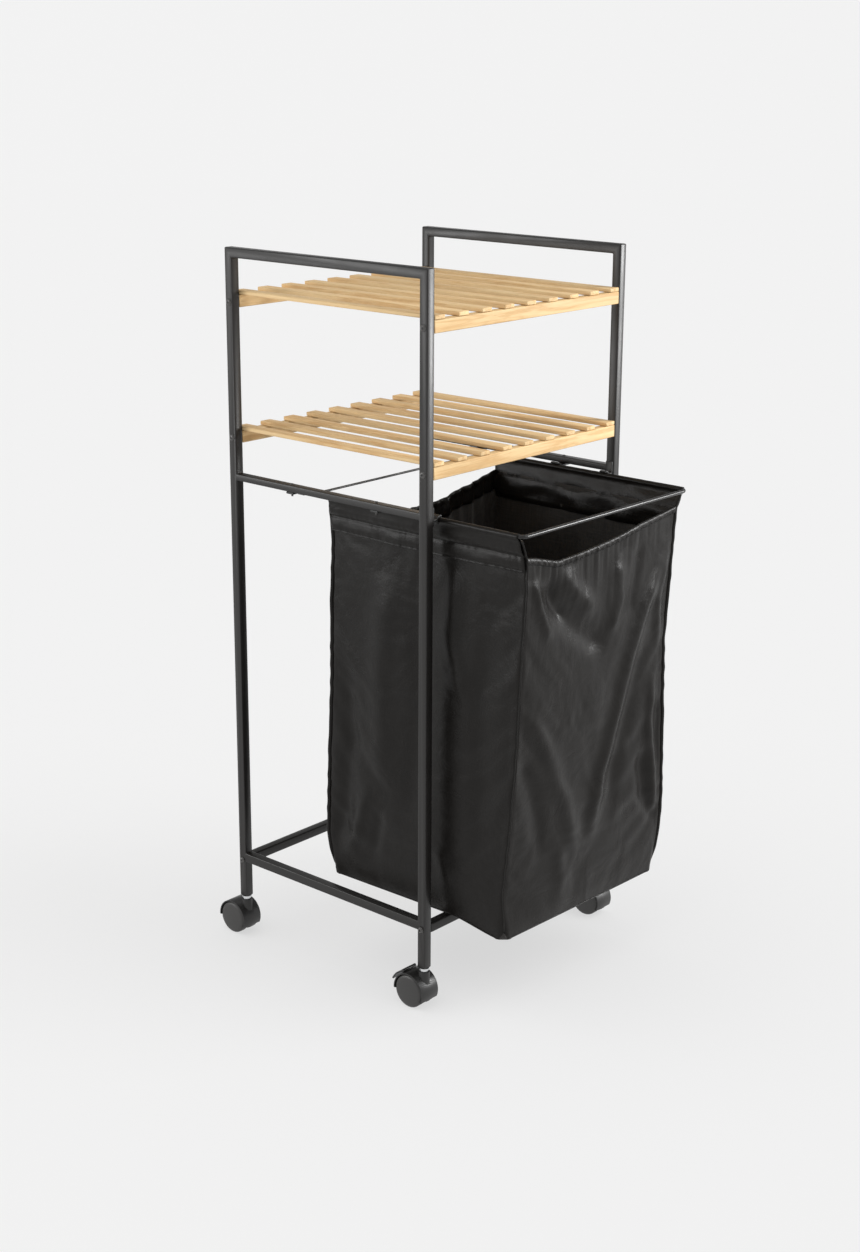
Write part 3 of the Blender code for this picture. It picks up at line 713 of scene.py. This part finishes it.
def finer(values, count, closed):
    # Catmull-Rom through the rows of an array, sampled at count places
    n = len(values)
    span = n if closed else n - 1
    places = np.arange(count) * span / (count if closed else count - 1)
    base = np.minimum(np.floor(places).astype(int), span - 1)
    t = (places - base).reshape(-1, *([1] * (values.ndim - 1)))

    def pick(k):
        return values[(base + k) % n] if closed else values[np.clip(base + k, 0, n - 1)]

    a, b, c, d = pick(-1), pick(0), pick(1), pick(2)
    return b + 0.5 * t * (c - a + t * (2 * a - 5 * b + 4 * c - d + t * (3 * (b - c) + d - a)))


def outwardOf(grid):
    across = np.roll(grid, -1, axis=1) - np.roll(grid, 1, axis=1)
    down = np.gradient(grid, axis=0)
    out = np.cross(down, across)
    return out / np.linalg.norm(out, axis=2, keepdims=True)


fineColumns, fineRows = 2, 130
panelWidth, panelHeight = 0.31, 0.47  # what the folds' shares are measured against


def addGathers(grid):
    # small pleats under the drawn-in hems of the front and rear panels
    out = outwardOf(grid)
    result = grid.copy()
    columns = grid.shape[1]
    for panelIndex, depth in ((0, bag["gather"]), (2, bag["rearGather"])):
        first = cornerColumns[panelIndex] * fineColumns
        count = panels[panelIndex][2] * fineColumns
        for i in range(1, count):
            t = i / count
            side = 1.25 - 1.0 * t if panelIndex == 0 else 1.0
            edge = min(1.0, 12 * t * (1 - t))
            j = (first + i) % columns
            for row in range(0, 36):
                fade = math.exp(-row / (9.0 if panelIndex == 0 else 14.0)) * min(1.0, 0.35 + row / 4)
                phase = t * (185 if panelIndex == 0 else 95)
                phase += 2.2 * noise.noise(Vector((t * 21, row * 0.03, panelIndex)))
                ridge = math.sin(phase) + 0.5 * math.sin(phase * 0.53 + 1.1)
                result[row, j] += out[row, j] * depth * side * edge * fade * ridge
    return result


# ridges and valleys that run over a panel: places are shares across and down it
foldLines = {
    0: [([(0.10, 0.03), (0.20, 0.12), (0.38, 0.21), (0.56, 0.28)], 0.016, -0.0050),
        ([(0.24, 0.03), (0.32, 0.10), (0.46, 0.17)], 0.012, 0.0040),
        ([(0.94, 0.12), (0.82, 0.22), (0.66, 0.45), (0.54, 0.66), (0.50, 0.80)], 0.013, 0.0048),
        ([(0.88, 0.30), (0.76, 0.46), (0.66, 0.62), (0.62, 0.75)], 0.016, -0.0042),
        ([(0.03, 0.36), (0.18, 0.50), (0.32, 0.66), (0.42, 0.84)], 0.014, 0.0036),
        ([(0.02, 0.50), (0.12, 0.62), (0.20, 0.80)], 0.014, -0.0034),
        ([(0.60, 0.05), (0.62, 0.16), (0.57, 0.25)], 0.010, 0.0030),
        ([(0.76, 0.04), (0.73, 0.14), (0.70, 0.24)], 0.010, -0.0026),
        ([(0.93, 0.42), (0.90, 0.56), (0.93, 0.70), (0.96, 0.86)], 0.009, 0.0040),
        ([(0.99, 0.86), (0.88, 0.76), (0.84, 0.62)], 0.010, -0.0036),
        ([(0.97, 0.12), (0.92, 0.22), (0.95, 0.34)], 0.009, 0.0034),
        ([(0.985, 0.50), (0.955, 0.60), (0.98, 0.72)], 0.006, -0.0026),
        ([(0.05, 0.04), (0.09, 0.12), (0.17, 0.20)], 0.008, 0.0030),
        ([(0.16, 0.04), (0.18, 0.10), (0.27, 0.16)], 0.007, -0.0028),
        ([(0.30, 0.98), (0.34, 0.88), (0.30, 0.78)], 0.012, 0.0022)],
    3: [([(0.03, 0.92), (0.10, 0.80), (0.12, 0.60), (0.08, 0.40)], 0.014, -0.0036),
        ([(0.06, 0.98), (0.17, 0.86), (0.22, 0.72)], 0.010, 0.0030),
        ([(0.20, 0.98), (0.28, 0.88), (0.31, 0.76)], 0.009, -0.0022),
        ([(0.30, 0.12), (0.27, 0.40), (0.30, 0.70)], 0.020, 0.0034),
        ([(0.48, 0.10), (0.50, 0.45), (0.47, 0.80)], 0.022, -0.0034),
        ([(0.66, 0.06), (0.64, 0.25), (0.74, 0.42)], 0.014, 0.0026),
        ([(0.84, 0.16), (0.82, 0.45), (0.86, 0.80)], 0.018, -0.0024),
        ([(0.72, 0.98), (0.70, 0.90), (0.62, 0.82)], 0.010, 0.0018)],
    1: [([(0.20, 0.06), (0.26, 0.40), (0.22, 0.85)], 0.018, -0.0030),
        ([(0.55, 0.06), (0.50, 0.45), (0.56, 0.90)], 0.020, 0.0030),
        ([(0.84, 0.90), (0.76, 0.70), (0.80, 0.45)], 0.014, -0.0028)],
    2: [([(0.18, 0.04), (0.26, 0.30), (0.24, 0.60)], 0.016, -0.0036),
        ([(0.52, 0.04), (0.46, 0.35), (0.52, 0.75)], 0.018, 0.0036),
        ([(0.82, 0.05), (0.74, 0.40), (0.80, 0.80)], 0.015, -0.0032)]}


def addFolds(grid):
    out = outwardOf(grid)
    result = grid.copy()
    rows, columns = grid.shape[:2]
    down = np.linspace(0, 1, rows)[:, None]
    for panelIndex, lines in foldLines.items():
        first = cornerColumns[panelIndex] * fineColumns
        count = panels[panelIndex][2] * fineColumns
        across = (np.arange(count + 1) / count)[None, :]
        push = np.zeros((rows, count + 1))
        for points, width, height in lines:
            # in metres, so a fold keeps its width whichever way it runs
            x, y = across * panelWidth, down * panelHeight
            nearest, along = np.full(push.shape, 9.0), np.zeros(push.shape)
            for k, ((x0, y0), (x1, y1)) in enumerate(zip(points, points[1:])):
                ax, bx = x0 * panelWidth, x1 * panelWidth
                ay, by = y0 * panelHeight, y1 * panelHeight
                length = (bx - ax) ** 2 + (by - ay) ** 2
                share = np.clip(((x - ax) * (bx - ax) + (y - ay) * (by - ay)) / length, 0, 1)
                away = np.hypot(x - ax - share * (bx - ax), y - ay - share * (by - ay))
                closer = away < nearest
                nearest = np.where(closer, away, nearest)
                along = np.where(closer, (k + share) / (len(points) - 1), along)
            ends = np.clip(np.minimum(along, 1 - along) * 5 + 0.15, 0, 1)
            push += bag["foldDepth"] * height * ends * np.exp(-(nearest / width) ** 2)
        edge = np.clip(np.minimum(across, 1 - across) * 22, 0, 1) * np.clip((1 - down) * 16, 0, 1)
        push *= edge * np.clip(down * 12, 0, 1)
        for i in range(count + 1):
            j = (first + i) % columns
            result[:, j] += out[:, j] * push[:, i:i + 1]
    return result


rawGrid = wallGrid()
drape = settleCloth(rawGrid)
bagWalls = finer(finer(drape, fineRows, False).transpose(1, 0, 2),
                 drape.shape[1] * fineColumns, True).transpose(1, 0, 2)


def tidyFoot(grid):
    # the walls drop straight to the base seam and turn in a little where they meet it
    count = 16
    result = grid.copy()
    upper, lower = grid[-count - 1], grid[-1]
    middle = lower.mean(axis=0)
    for k in range(count):
        t = (k + 1) / count
        straight = upper * (1 - t) + lower * t
        keep = (1 - t) ** 2
        inward = (middle - lower) * (1, 1, 0)
        inward /= np.linalg.norm(inward, axis=1, keepdims=True)
        turn = 0.0018 * max(0.0, (t - 0.6) / 0.4) ** 2
        row = grid[-count + k] * keep + straight * (1 - keep) + inward * turn
        row[:, 2] = grid[-count + k, :, 2]
        result[-count + k] = row
    return result


bagWalls = tidyFoot(addGathers(addFolds(bagWalls)))
wallOut = outwardOf(bagWalls)
print("cloth settled")


def wallPoint(column, z, out=0.0):
    # a place on the wall at one column, which may lie between two, moved outwards
    count = bagWalls.shape[1]
    base, part = int(math.floor(column)), column - math.floor(column)
    result = np.zeros(3)
    for j, share in ((base % count, 1 - part), ((base + 1) % count, part)):
        heights = bagWalls[::-1, j, 2]
        point = [np.interp(z, heights, bagWalls[::-1, j, axis]) for axis in (0, 1)]
        normal = np.array([np.interp(z, heights, wallOut[::-1, j, axis]) for axis in (0, 1)])
        normal /= max(np.linalg.norm(normal), 1e-6)
        result += share * np.array([point[0] + normal[0] * out, point[1] + normal[1] * out, z])
    return result


def ridePiece(piece, body="bag_carriage"):
    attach(piece, body)
    return piece


def addWall(piece, thickness, offset=0.0):
    wall = piece.modifiers.new("wall", "SOLIDIFY")
    wall.thickness = thickness
    wall.offset = offset
    return wall


def twoSidedWall(piece):
    # the wrong side of the cloth faces inwards
    piece.data.materials.append(bagWrongSide)
    wall = addWall(piece, bag["wall"], -1)
    wall.material_offset, wall.material_offset_rim = 1, 0


def addFolded(name, rows, thickness, column, flip=False):
    # a piece of cloth whose depth is measured down one of its columns
    steps = np.linalg.norm(np.diff(rows[:, column], axis=0), axis=1)
    uvs = [[(j * 0.002, float(depth)) for j in range(rows.shape[1])]
           for depth in np.cumsum([0, *steps])]
    piece = meshFromRows(name, rows, False, bagSatin, uvs)
    if flip:
        editMesh(piece.data, lambda bm: bmesh.ops.reverse_faces(bm, faces=bm.faces))
    addWall(piece, thickness)
    ridePiece(piece)


def makeBody():
    rows, columns = bagWalls.shape[:2]
    uvs = [[(j * 0.0042, -i * 0.0038) for j in range(columns + 1)] for i in range(rows)]
    body = meshFromRows("bagBody", bagWalls, True, bagSatin, uvs)
    # the front and rear panels hang slacker than the sides
    starts = [k * fineColumns for k in cornerColumns]
    share = np.array([1.0 if j < starts[1] or starts[2] <= j < starts[3] else 0.25
                      for j in range(columns)])
    share = (np.roll(share, 2) + np.roll(share, -2) + share) / 3
    slack = body.data.attributes.new("slack", "FLOAT", "POINT")
    slack.data.foreach_set("value", np.tile(share, rows))
    twoSidedWall(body)
    ridePiece(body)
    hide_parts("laundry_bag")


def makeBase():
    # the base panel, a little slack between its seams
    ring = np.concatenate([bagWalls[-1], bagWalls[-1][:1]])
    ends = [k * fineColumns for k in cornerColumns] + [len(bagWalls[-1])]
    front, right, rear, left = (ring[a:b + 1] for a, b in zip(ends, ends[1:]))
    rear, left = rear[::-1], left[::-1]
    count, depth = len(front) - 1, len(right) - 1
    frontRise, rearRise, leftRise, rightRise = (
        edge[:, 2] - np.array([footAt(y) for y in edge[:, 1]]) for edge in (front, rear, left, right))
    rows = []
    baseDepth, baseWidth, riseReach = 0.29, 0.31, 0.03

    def fade(share, length):
        # how much of an edge's own height is left this far in from it
        return max(0.0, 1 - share * length / riseReach) ** 2

    for i in range(depth + 1):
        v = i / depth
        row = []
        for j in range(count + 1):
            u = j / count
            nearFront, nearRear = fade(v, baseDepth), fade(1 - v, baseDepth)
            nearLeft, nearRight = fade(u, baseWidth), fade(1 - u, baseWidth)
            rise = (nearFront * frontRise[j] + nearRear * rearRise[j] + nearLeft * leftRise[i]
                    + nearRight * rightRise[i] - nearLeft * nearFront * frontRise[0]
                    - nearRight * nearFront * frontRise[-1] - nearLeft * nearRear * rearRise[0]
                    - nearRight * nearRear * rearRise[-1])
            sides = (1 - v) * front[j] + v * rear[j] + (1 - u) * left[i] + u * right[i]
            corners = ((1 - u) * (1 - v) * front[0] + u * (1 - v) * front[-1]
                       + (1 - u) * v * rear[0] + u * v * rear[-1])
            point = sides - corners
            middle = (16 * u * (1 - u) * v * (1 - v)) ** 0.5
            wrinkle = noise.noise(Vector((point[0] * 18, point[1] * 18, 2.7))) * 0.0022
            point[2] = footAt(point[1]) + max(0.0, rise) + middle * (wrinkle - 0.0012) + 0.0004
            row.append(point)
        rows.append(row)
    uvs = [[(j * 0.0040, i * 0.0040) for j in range(count + 1)] for i in range(depth + 1)]
    base = meshFromRows("bagBase", np.array(rows)[::-1], False, bagSatin, uvs)
    twoSidedWall(base)
    ridePiece(base)


sleeve = {"seam": 0.0235, "edge": 0.043, "samples": 150, "wrap": 0.0033, "pucker": 0.0006,
          "thickness": 0.0006, "frontGap": 0.0055, "rearReach": 0.017, "free": 0.0285}


def sleeveProfile():
    # each row is a kind, a value and how far out it lies; a rod's value is an angle round it
    outer = [(-sleeve["edge"], 0.0030), (-0.0422, 0.0031), (-0.0408, 0.0022), (-0.0390, 0.0031),
             (-0.034, 0.0036), (-0.029, 0.0034), (-0.0255, 0.0024), (-sleeve["seam"], 0.0006),
             (-0.0218, 0.0026), (-0.018, 0.0034), (-0.013, 0.0031), (-0.008, 0.0018)]
    inner = [(-0.008, -0.0016), (-0.013, -0.0020), (-0.018, -0.0019), (-0.022, -0.0015),
             (-sleeve["seam"], -0.0012), (-0.026, -0.0016), (-0.031, -0.0019), (-0.037, -0.0018),
             (-0.0415, -0.0016), (-0.047, -0.0017), (-0.0545, -0.0016)]
    overRod = [("rod", angle, 0) for angle in range(-55, 236, 20)]
    return ([("wall", z, out) for z, out in outer] + overRod + [("wall", z, out) for z, out in inner])


def sideColumn(side, t):
    # t runs from the front to the rear of a side panel
    first, count = cornerColumns[1] * fineColumns, panels[1][2] * fineColumns
    if side > 0:
        return first + t * count
    return cornerColumns[3] * fineColumns + (1 - t) * count


def makeSleeve(side, name):
    frontEnd, rearEnd = rodFront + sleeve["frontGap"], frameMiddleY + sleeve["rearReach"]
    rows = []
    for kind, value, out in sleeveProfile():
        row = []
        for i in range(sleeve["samples"] + 1):
            t = i / sleeve["samples"]
            y = frontEnd + (rearEnd - frontEnd) * t
            centre = np.array([side * rodX, y, rodZ])
            ripple = math.sin(t * 170 + 2.5 * math.sin(t * 23 + side))
            if kind == "rod":
                swell = sleeve["wrap"] + 0.0002 * noise.noise(Vector((t * 30, value * 0.02, side)))
                a = math.radians(value)
                row.append(centre + np.array([side * swell * math.cos(a), 0, swell * math.sin(a)]))
                continue
            z = rodZ + value
            sag = 0.0016 * math.sin(math.pi * t) * min(1.0, -value / sleeve["edge"])
            # the sleeve leaves the wall a little below the wire
            wall = wallPoint(sideColumn(side, t), min(z - sag, rodZ - sleeve["free"]))
            share = max(0.0, min(1.0, (value + sleeve["free"]) / sleeve["free"]))
            near = math.exp(-((value + sleeve["seam"]) / 0.005) ** 2)
            low = math.exp(-((value + sleeve["edge"]) / 0.004) ** 2)
            push = out + sleeve["pucker"] * ripple * (near * 0.4 + low * 0.6) * (1 if out > 0 else 0.6)
            point = wall * (1 - share) + centre * share
            depth = 0.0012 if out > 0 else 0.0024
            soft = depth * noise.noise(Vector((t * 9, value * 60, 4.0 + side))) * (1 - share)
            point[0] += side * (push + soft)
            point[1] = point[1] if share < 1 else y
            point[2] = z - sag
            row.append(point)
        rows.append(row)
    rows = np.array(rows)
    # the left sleeve's rows are turned round, so that both sleeves face outwards
    addFolded(name, rows[::side], sleeve["thickness"], 60)
    return rows


# outer and inner are how far the hem's two edges hang
hem = {"outer": 0.0065, "inner": 0.024, "thickness": 0.0006}


def topAt(column):
    # the height of the wall's upper edge at a column, which may lie between two
    total = bagWalls.shape[1]
    base, part = math.floor(column), column - math.floor(column)
    return bagWalls[0, base % total, 2] * (1 - part) + bagWalls[0, (base + 1) % total, 2] * part


def makeHem(panelIndex, name):
    first, count = cornerColumns[panelIndex] * fineColumns, panels[panelIndex][2] * fineColumns
    profile = [(-hem["outer"], 0.0008), (-0.0052, 0.0013), (-0.0035, 0.0015), (-0.0015, 0.0014),
               (0.0000, 0.0011), (0.0011, 0.0004), (0.0014, -0.0004), (0.0008, -0.0013),
               (-0.0015, -0.0018), (-0.0035, -0.0019), (-0.0052, -0.0016), (-0.0065, -0.0012),
               (-0.010, -0.0015), (-0.015, -0.0016), (-0.020, -0.0016), (-hem["inner"], -0.0014)]
    rows = []
    for drop, out in profile:
        row = []
        for i in range(count * 2 + 1):
            column = first + i / 2
            top = topAt(column)
            point = wallPoint(column, min(top + drop, top), out)
            point[2] = top + drop
            row.append(point)
        rows.append(row)
    rows = np.array(rows)[::-1]
    addFolded(name, rows, hem["thickness"], 40, True)
    return rows


tape = {"reach": 0.0036, "half": 0.0011, "steps": 150, "sides": 12, "frontDrop": 0.004,
        "rearDrop": 0.010}
tapeDirections = {"frontLeft": (-0.45, -0.9), "frontRight": (0.9, -0.45), "rearRight": (0.6, 0.8),
                  "rearLeft": (-0.6, 0.8)}


def makeCornerTapes():
    # a folded tape binds the seam down each corner
    angles = [2 * math.pi * a / tape["sides"] for a in range(tape["sides"])]
    for k, (label, (outX, outY)) in enumerate(tapeDirections.items()):
        column = cornerColumns[k] * fineColumns
        wallTop, wallFoot = bagWalls[0, column, 2], bagWalls[-1, column, 2]
        top = rodZ - tape["frontDrop" if k < 2 else "rearDrop"]
        rows = []
        for i in range(tape["steps"] + 1):
            z = top + (wallFoot - top) * i / tape["steps"]
            centre = wallPoint(column, min(z, wallTop))
            if k < 2:  # above the hem the front tapes lean over to the wire's bends
                rise = max(0.0, (z - wallTop) / 0.03)
                bent = np.array([math.copysign(rodX, centre[0]), rodFront + 0.004, 0])
                centre = centre * (1 - rise) + bent * rise
            centre[2] = z
            turn = 0.16 * math.sin(i * 0.11 + k) + 0.10 * math.sin(i * 0.23 + 2 * k)
            out = np.array([outX * math.cos(turn) - outY * math.sin(turn),
                            outX * math.sin(turn) + outY * math.cos(turn), 0])
            across = np.array([-out[1], out[0], 0])
            reach = tape["reach"] * min(1.0, 0.25 + (tape["steps"] - i) / 9)
            rows.append([centre + out * (reach * (0.40 + 0.60 * math.cos(angle)))
                         + across * tape["half"] * math.sin(angle) * (1 - 0.25 * math.cos(angle))
                         for angle in angles])
        uvs = [[(a * 0.0008, -i * 0.0032) for a in range(len(angles) + 1)] for i in range(len(rows))]
        piece = meshFromRows("cornerTape_" + label, rows, True, bagSatin, uvs)
        closeEnds(piece, len(angles))
        ridePiece(piece)


def closeEnds(piece, ringSize):
    def close(bm):
        bm.verts.ensure_lookup_table()
        for ring in (bm.verts[:ringSize], bm.verts[-ringSize:]):
            bm.faces.new(ring)
        bmesh.ops.recalc_face_normals(bm, faces=bm.faces)

    editMesh(piece.data, close)


def makeBaseSeam():
    ring = bagWalls[-1]
    points = [tuple(place + np.array([0, 0, 0.0006])) for place in ring]
    ridePiece(tube("baseSeam", points, 0.0008, bagSatin, 3, True))


makeBody()
makeBase()
leftSleeve = makeSleeve(-1, "rodSleeve_left")
rightSleeve = makeSleeve(1, "rodSleeve_right")
frontHemRows = makeHem(0, "hem_front")
rearHemRows = makeHem(2, "hem_rear")
makeCornerTapes()
makeBaseSeam()
print("bag made")


# stitches, set along lines by one tree
def makeStitchTree():
    tree, start, end = startGroup(
        "stitches",
        [("Geometry", "NodeSocketGeometry", None), ("Spacing", "NodeSocketFloat", 0.0036),
         ("Length", "NodeSocketFloat", 0.0025), ("Radius", "NodeSocketFloat", 0.0003),
         ("Thread", "NodeSocketMaterial", None)],
        [("Geometry", "NodeSocketGeometry")], "GeometryNodeTree")
    points = addNode(tree, "GeometryNodeCurveToPoints", {"Curve": start.outputs["Geometry"],
                                                         "Length": start.outputs["Spacing"]},
                     mode="LENGTH")
    ball = addNode(tree, "GeometryNodeMeshUVSphere", {"Segments": 6, "Rings": 4,
                                                      "Radius": start.outputs["Radius"]})
    slimness = maths(tree, "DIVIDE", start.outputs["Length"], start.outputs["Radius"])
    size = addNode(tree, "ShaderNodeCombineXYZ", {"X": 1.0, "Y": 1.0,
                                                  "Z": maths(tree, "MULTIPLY", slimness, 0.5)})
    turn = addNode(tree, "FunctionNodeAlignRotationToVector", {"Vector": points.outputs["Tangent"]})
    placed = addNode(tree, "GeometryNodeInstanceOnPoints",
                     {"Points": points.outputs["Points"], "Instance": ball.outputs["Mesh"],
                      "Rotation": turn.outputs["Rotation"], "Scale": size.outputs["Vector"]})
    real = addNode(tree, "GeometryNodeRealizeInstances", {"Geometry": placed.outputs["Instances"]})
    coloured = addNode(tree, "GeometryNodeSetMaterial", {"Geometry": real.outputs["Geometry"],
                                                         "Material": start.outputs["Thread"]})
    wire(tree, end, {"Geometry": coloured.outputs["Geometry"]})
    return tree


stitchTree = makeStitchTree()
stitch = {"Spacing": 0.0038, "Length": 0.0030, "Radius": 0.00038}
# black thread, kept as dark as the cloth's darkest so the stitch rows also serve as painted shade lines
# along the sleeve's flap
blackThreadAndShade = coatedFinish("blackThreadAndShade", (0.006, 0.0056, 0.0052), 1.4, 0.6, 3000.0, 0.2,
                           Specular_IOR_Level=0.2)


def sewLines(name, lines):
    obj = lineObject(name, lines)
    sewing = obj.modifiers.new("sewing", "NODES")
    sewing.node_group = stitchTree
    for key, value in stitch.items():
        setInput(sewing, key, value)
    setInput(sewing, "Thread", blackThreadAndShade)
    piece = asMesh(obj)
    piece.data.shade_smooth()
    return ridePiece(piece)


def sleeveLine(rows, index, side, push):
    return [row + np.array([side * push, 0, 0]) for row in rows[index][2:-2]]


profileSize = len(sleeveProfile())
# the dark stitch rows on the sleeves double as painted shade lines along the flap's edge and seam
sewLines("stitches_sleeves", [
    sleeveLine(rows, index, side, 0.0005 if index < 14 else -0.0005)
    for rows, side in ((leftSleeve, -1), (rightSleeve, 1))
    for index in (2, 7, profileSize - 7, profileSize - 3)])
sewLines("stitches_hems", [row[3:-3] + np.array([0, push, 0])
                           for row, push in ((frontHemRows[-2], -0.0005), (rearHemRows[-2], 0.0005))])
print("stitches made")


# screws, all set by one tree on points that face outwards
def makeScrewTree():
    tree, start, end = startGroup(
        "domeScrews",
        [("Geometry", "NodeSocketGeometry", None), ("Head Radius", "NodeSocketFloat", 0.0040),
         ("Dome", "NodeSocketFloat", 0.0016), ("Shank Radius", "NodeSocketFloat", 0.0018),
         ("Shank Length", "NodeSocketFloat", 0.015), ("Steel", "NodeSocketMaterial", None),
         ("Recess", "NodeSocketMaterial", None)],
        [("Geometry", "NodeSocketGeometry")], "GeometryNodeTree")
    radius, dome = start.outputs["Head Radius"], start.outputs["Dome"]

    def moved(shape, **places):
        # places gives Translation or Scale as three numbers or sockets
        inputs = {"Geometry": shape.outputs["Mesh"]}
        for key, values in places.items():
            vector = addNode(tree, "ShaderNodeCombineXYZ", dict(enumerate(values)))
            inputs[key] = vector.outputs["Vector"]
        return addNode(tree, "GeometryNodeTransform", inputs).outputs["Geometry"]

    def joined(*shapes):
        together = addNode(tree, "GeometryNodeJoinGeometry")
        for shape in shapes:
            tree.links.new(shape, together.inputs[0])
        return together.outputs["Geometry"]

    def coloured(shape, material):
        return addNode(tree, "GeometryNodeSetMaterial", {
            "Geometry": shape, "Material": start.outputs[material]}).outputs["Geometry"]

    ball = addNode(tree, "GeometryNodeMeshUVSphere", {"Segments": 20, "Rings": 10, "Radius": 1.0})
    pin = addNode(tree, "GeometryNodeMeshCylinder", {"Vertices": 12, "Depth": start.outputs["Shank Length"],
                                                     "Radius": start.outputs["Shank Radius"]})
    sunk = maths(tree, "MULTIPLY", start.outputs["Shank Length"], -0.5)
    bright = joined(moved(pin, Translation=(0.0, 0.0, sunk)), moved(ball, Scale=(radius, radius, dome)))
    smooth = addNode(tree, "GeometryNodeSetShadeSmooth", {"Geometry": bright}).outputs["Geometry"]
    # the cross of bars stands for the screw's recess and takes the Recess material, which is painted shade
    bars = [addNode(tree, "GeometryNodeMeshCube", {"Size": size})
            for size in ((0.0036, 0.0007, 0.0006), (0.0007, 0.0036, 0.0006))]
    cross = joined(*[moved(bar, Translation=(0.0, 0.0, dome)) for bar in bars])
    whole = joined(coloured(cross, "Recess"), coloured(smooth, "Steel"))
    facing = addNode(tree, "GeometryNodeInputNamedAttribute", {"Name": "facing"},
                     data_type="FLOAT_VECTOR")
    turn = addNode(tree, "FunctionNodeAlignRotationToVector", {"Vector": facing.outputs["Attribute"]})
    placed = addNode(tree, "GeometryNodeInstanceOnPoints",
                     {"Points": start.outputs["Geometry"], "Instance": whole,
                      "Rotation": turn.outputs["Rotation"]})
    real = addNode(tree, "GeometryNodeRealizeInstances", {"Geometry": placed.outputs["Instances"]})
    wire(tree, end, {"Geometry": real.outputs["Geometry"]})
    return tree


screwTree = makeScrewTree()
# painted shade: the recess is made near-black, much darker than the steel, to stand for the shade inside
# the hole
recessShade = coatedFinish("recessShade", (0.004, 0.004, 0.004), 1.2, 0.6, 900.0, 0.05)


def addScrews(name, spots, values, body, steel):
    # spots are pairs of a place and the way its head faces
    mesh = bpy.data.meshes.new(name)
    mesh.from_pydata([place for place, _ in spots], [], [])
    facing = mesh.attributes.new("facing", "FLOAT_VECTOR", "POINT")
    facing.data.foreach_set("vector", [value for _, way in spots for value in way])
    obj = objectFromMesh(name, mesh, None)
    setting = obj.modifiers.new("screws", "NODES")
    setting.node_group = screwTree
    for key, value in values.items():
        setInput(setting, key, value)
    setInput(setting, "Steel", steel)
    setInput(setting, "Recess", recessShade)
    return ridePiece(asMesh(obj), body)


shelfScrew = {"Head Radius": 0.0046, "Dome": 0.0022, "Shank Radius": 0.0019, "Shank Length": 0.012}
railScrew = {"Head Radius": 0.0030, "Dome": 0.0010, "Shank Radius": 0.0014, "Shank Length": 0.0150}
shelfSpots = {"fromMiddle": 0.1637, "heights": (0.870, 0.697)}
guideSpots = {"fromFace": 0.0065, "along": (0.1097, -0.0353), "height": 0.650}
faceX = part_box("side_frame_right")[1][0]
railX = faceX - guideSpots["fromFace"]
addScrews("shelf_screws", [((side * faceX, frameMiddleY + way * shelfSpots["fromMiddle"], z), (side, 0, 0))
                           for side in (-1, 1) for way in (-1, 1) for z in shelfSpots["heights"]],
          shelfScrew, "frame", blackSteel)
addScrews("guide_screws", [((side * railX, y, guideSpots["height"]), (0, 0, 1))
                           for side in (-1, 1) for y in guideSpots["along"]],
          railScrew, "frame", blackSteel)
print("screws made")


# floor, light and world
studio = {"floor": 0.31, "glow": 0.615, "world": 0.40,
          "suns": [((0.9, -1.5, 1.9), 0.95, 38), ((-0.6, 0.3, 2.2), 0.80, 60)],
          "softboxes": [("left", (-2.7, 2.1, 1.1), 1.5, 42), ("right", (2.4, -2.3, 1.3), 1.1, 98)]}


def addLamp(name, kind, place, **settings):
    lamp = bpy.data.lights.new(name, kind)
    for key, value in settings.items():
        setattr(lamp, key, value)
    obj = bpy.data.objects.new(name, lamp)
    obj.location = place
    aim = Vector((0, 0, 0.45)) - Vector(place) if kind == "AREA" else -Vector(place)
    obj.rotation_euler = aim.to_track_quat("-Z", "Y").to_euler()
    obj.visible_camera = False
    bpy.context.scene.collection.objects.link(obj)
    return obj


def addStudio():
    mat, tree, shader = newMaterial("paleFloor", Roughness=0.9, Specular_IOR_Level=0.0,
                                    Emission_Color=(1, 1, 1, 1), Emission_Strength=studio["glow"])
    shader.inputs["Base Color"].default_value = (studio["floor"], studio["floor"], studio["floor"], 1)
    rows = []
    for i in range(25):
        radius = 0.02 + 14.0 * (i / 20) ** 1.5 if i < 21 else 14.0 + (i - 20) * 12.0
        up = 0.0 if i < 21 else (i - 20) * 2.8
        rows.append([(radius * math.cos(a * math.pi / 36), radius * math.sin(a * math.pi / 36), up)
                     for a in range(72)])
    rows[0] = [(0.0001 * p[0], 0.0001 * p[1], 0.0) for p in rows[0]]
    floor = meshFromRows("floor", np.array(rows), True, mat)
    world = bpy.data.worlds.new("studio")
    bpy.context.scene.world = world
    world.use_nodes = True
    back = world.node_tree.nodes["Background"]
    back.inputs["Color"].default_value = (1, 1, 1, 1)
    back.inputs["Strength"].default_value = studio["world"]
    for i, (place, strength, spread) in enumerate(studio["suns"]):
        addLamp(f"sun_{i + 1}", "SUN", place, energy=strength, angle=math.radians(spread))
    # the softboxes shine on the trolley and leave the floor as even as the suns make it
    unlit = bpy.data.collections.new("notSoftboxLit")
    unlit.objects.link(floor)
    unlit.collection_objects[0].light_linking.link_state = "EXCLUDE"
    for name, place, size, power in studio["softboxes"]:
        lamp = addLamp(name, "AREA", place, shape="SQUARE", size=size, energy=power)
        lamp.light_linking.receiver_collection = unlit


addStudio()
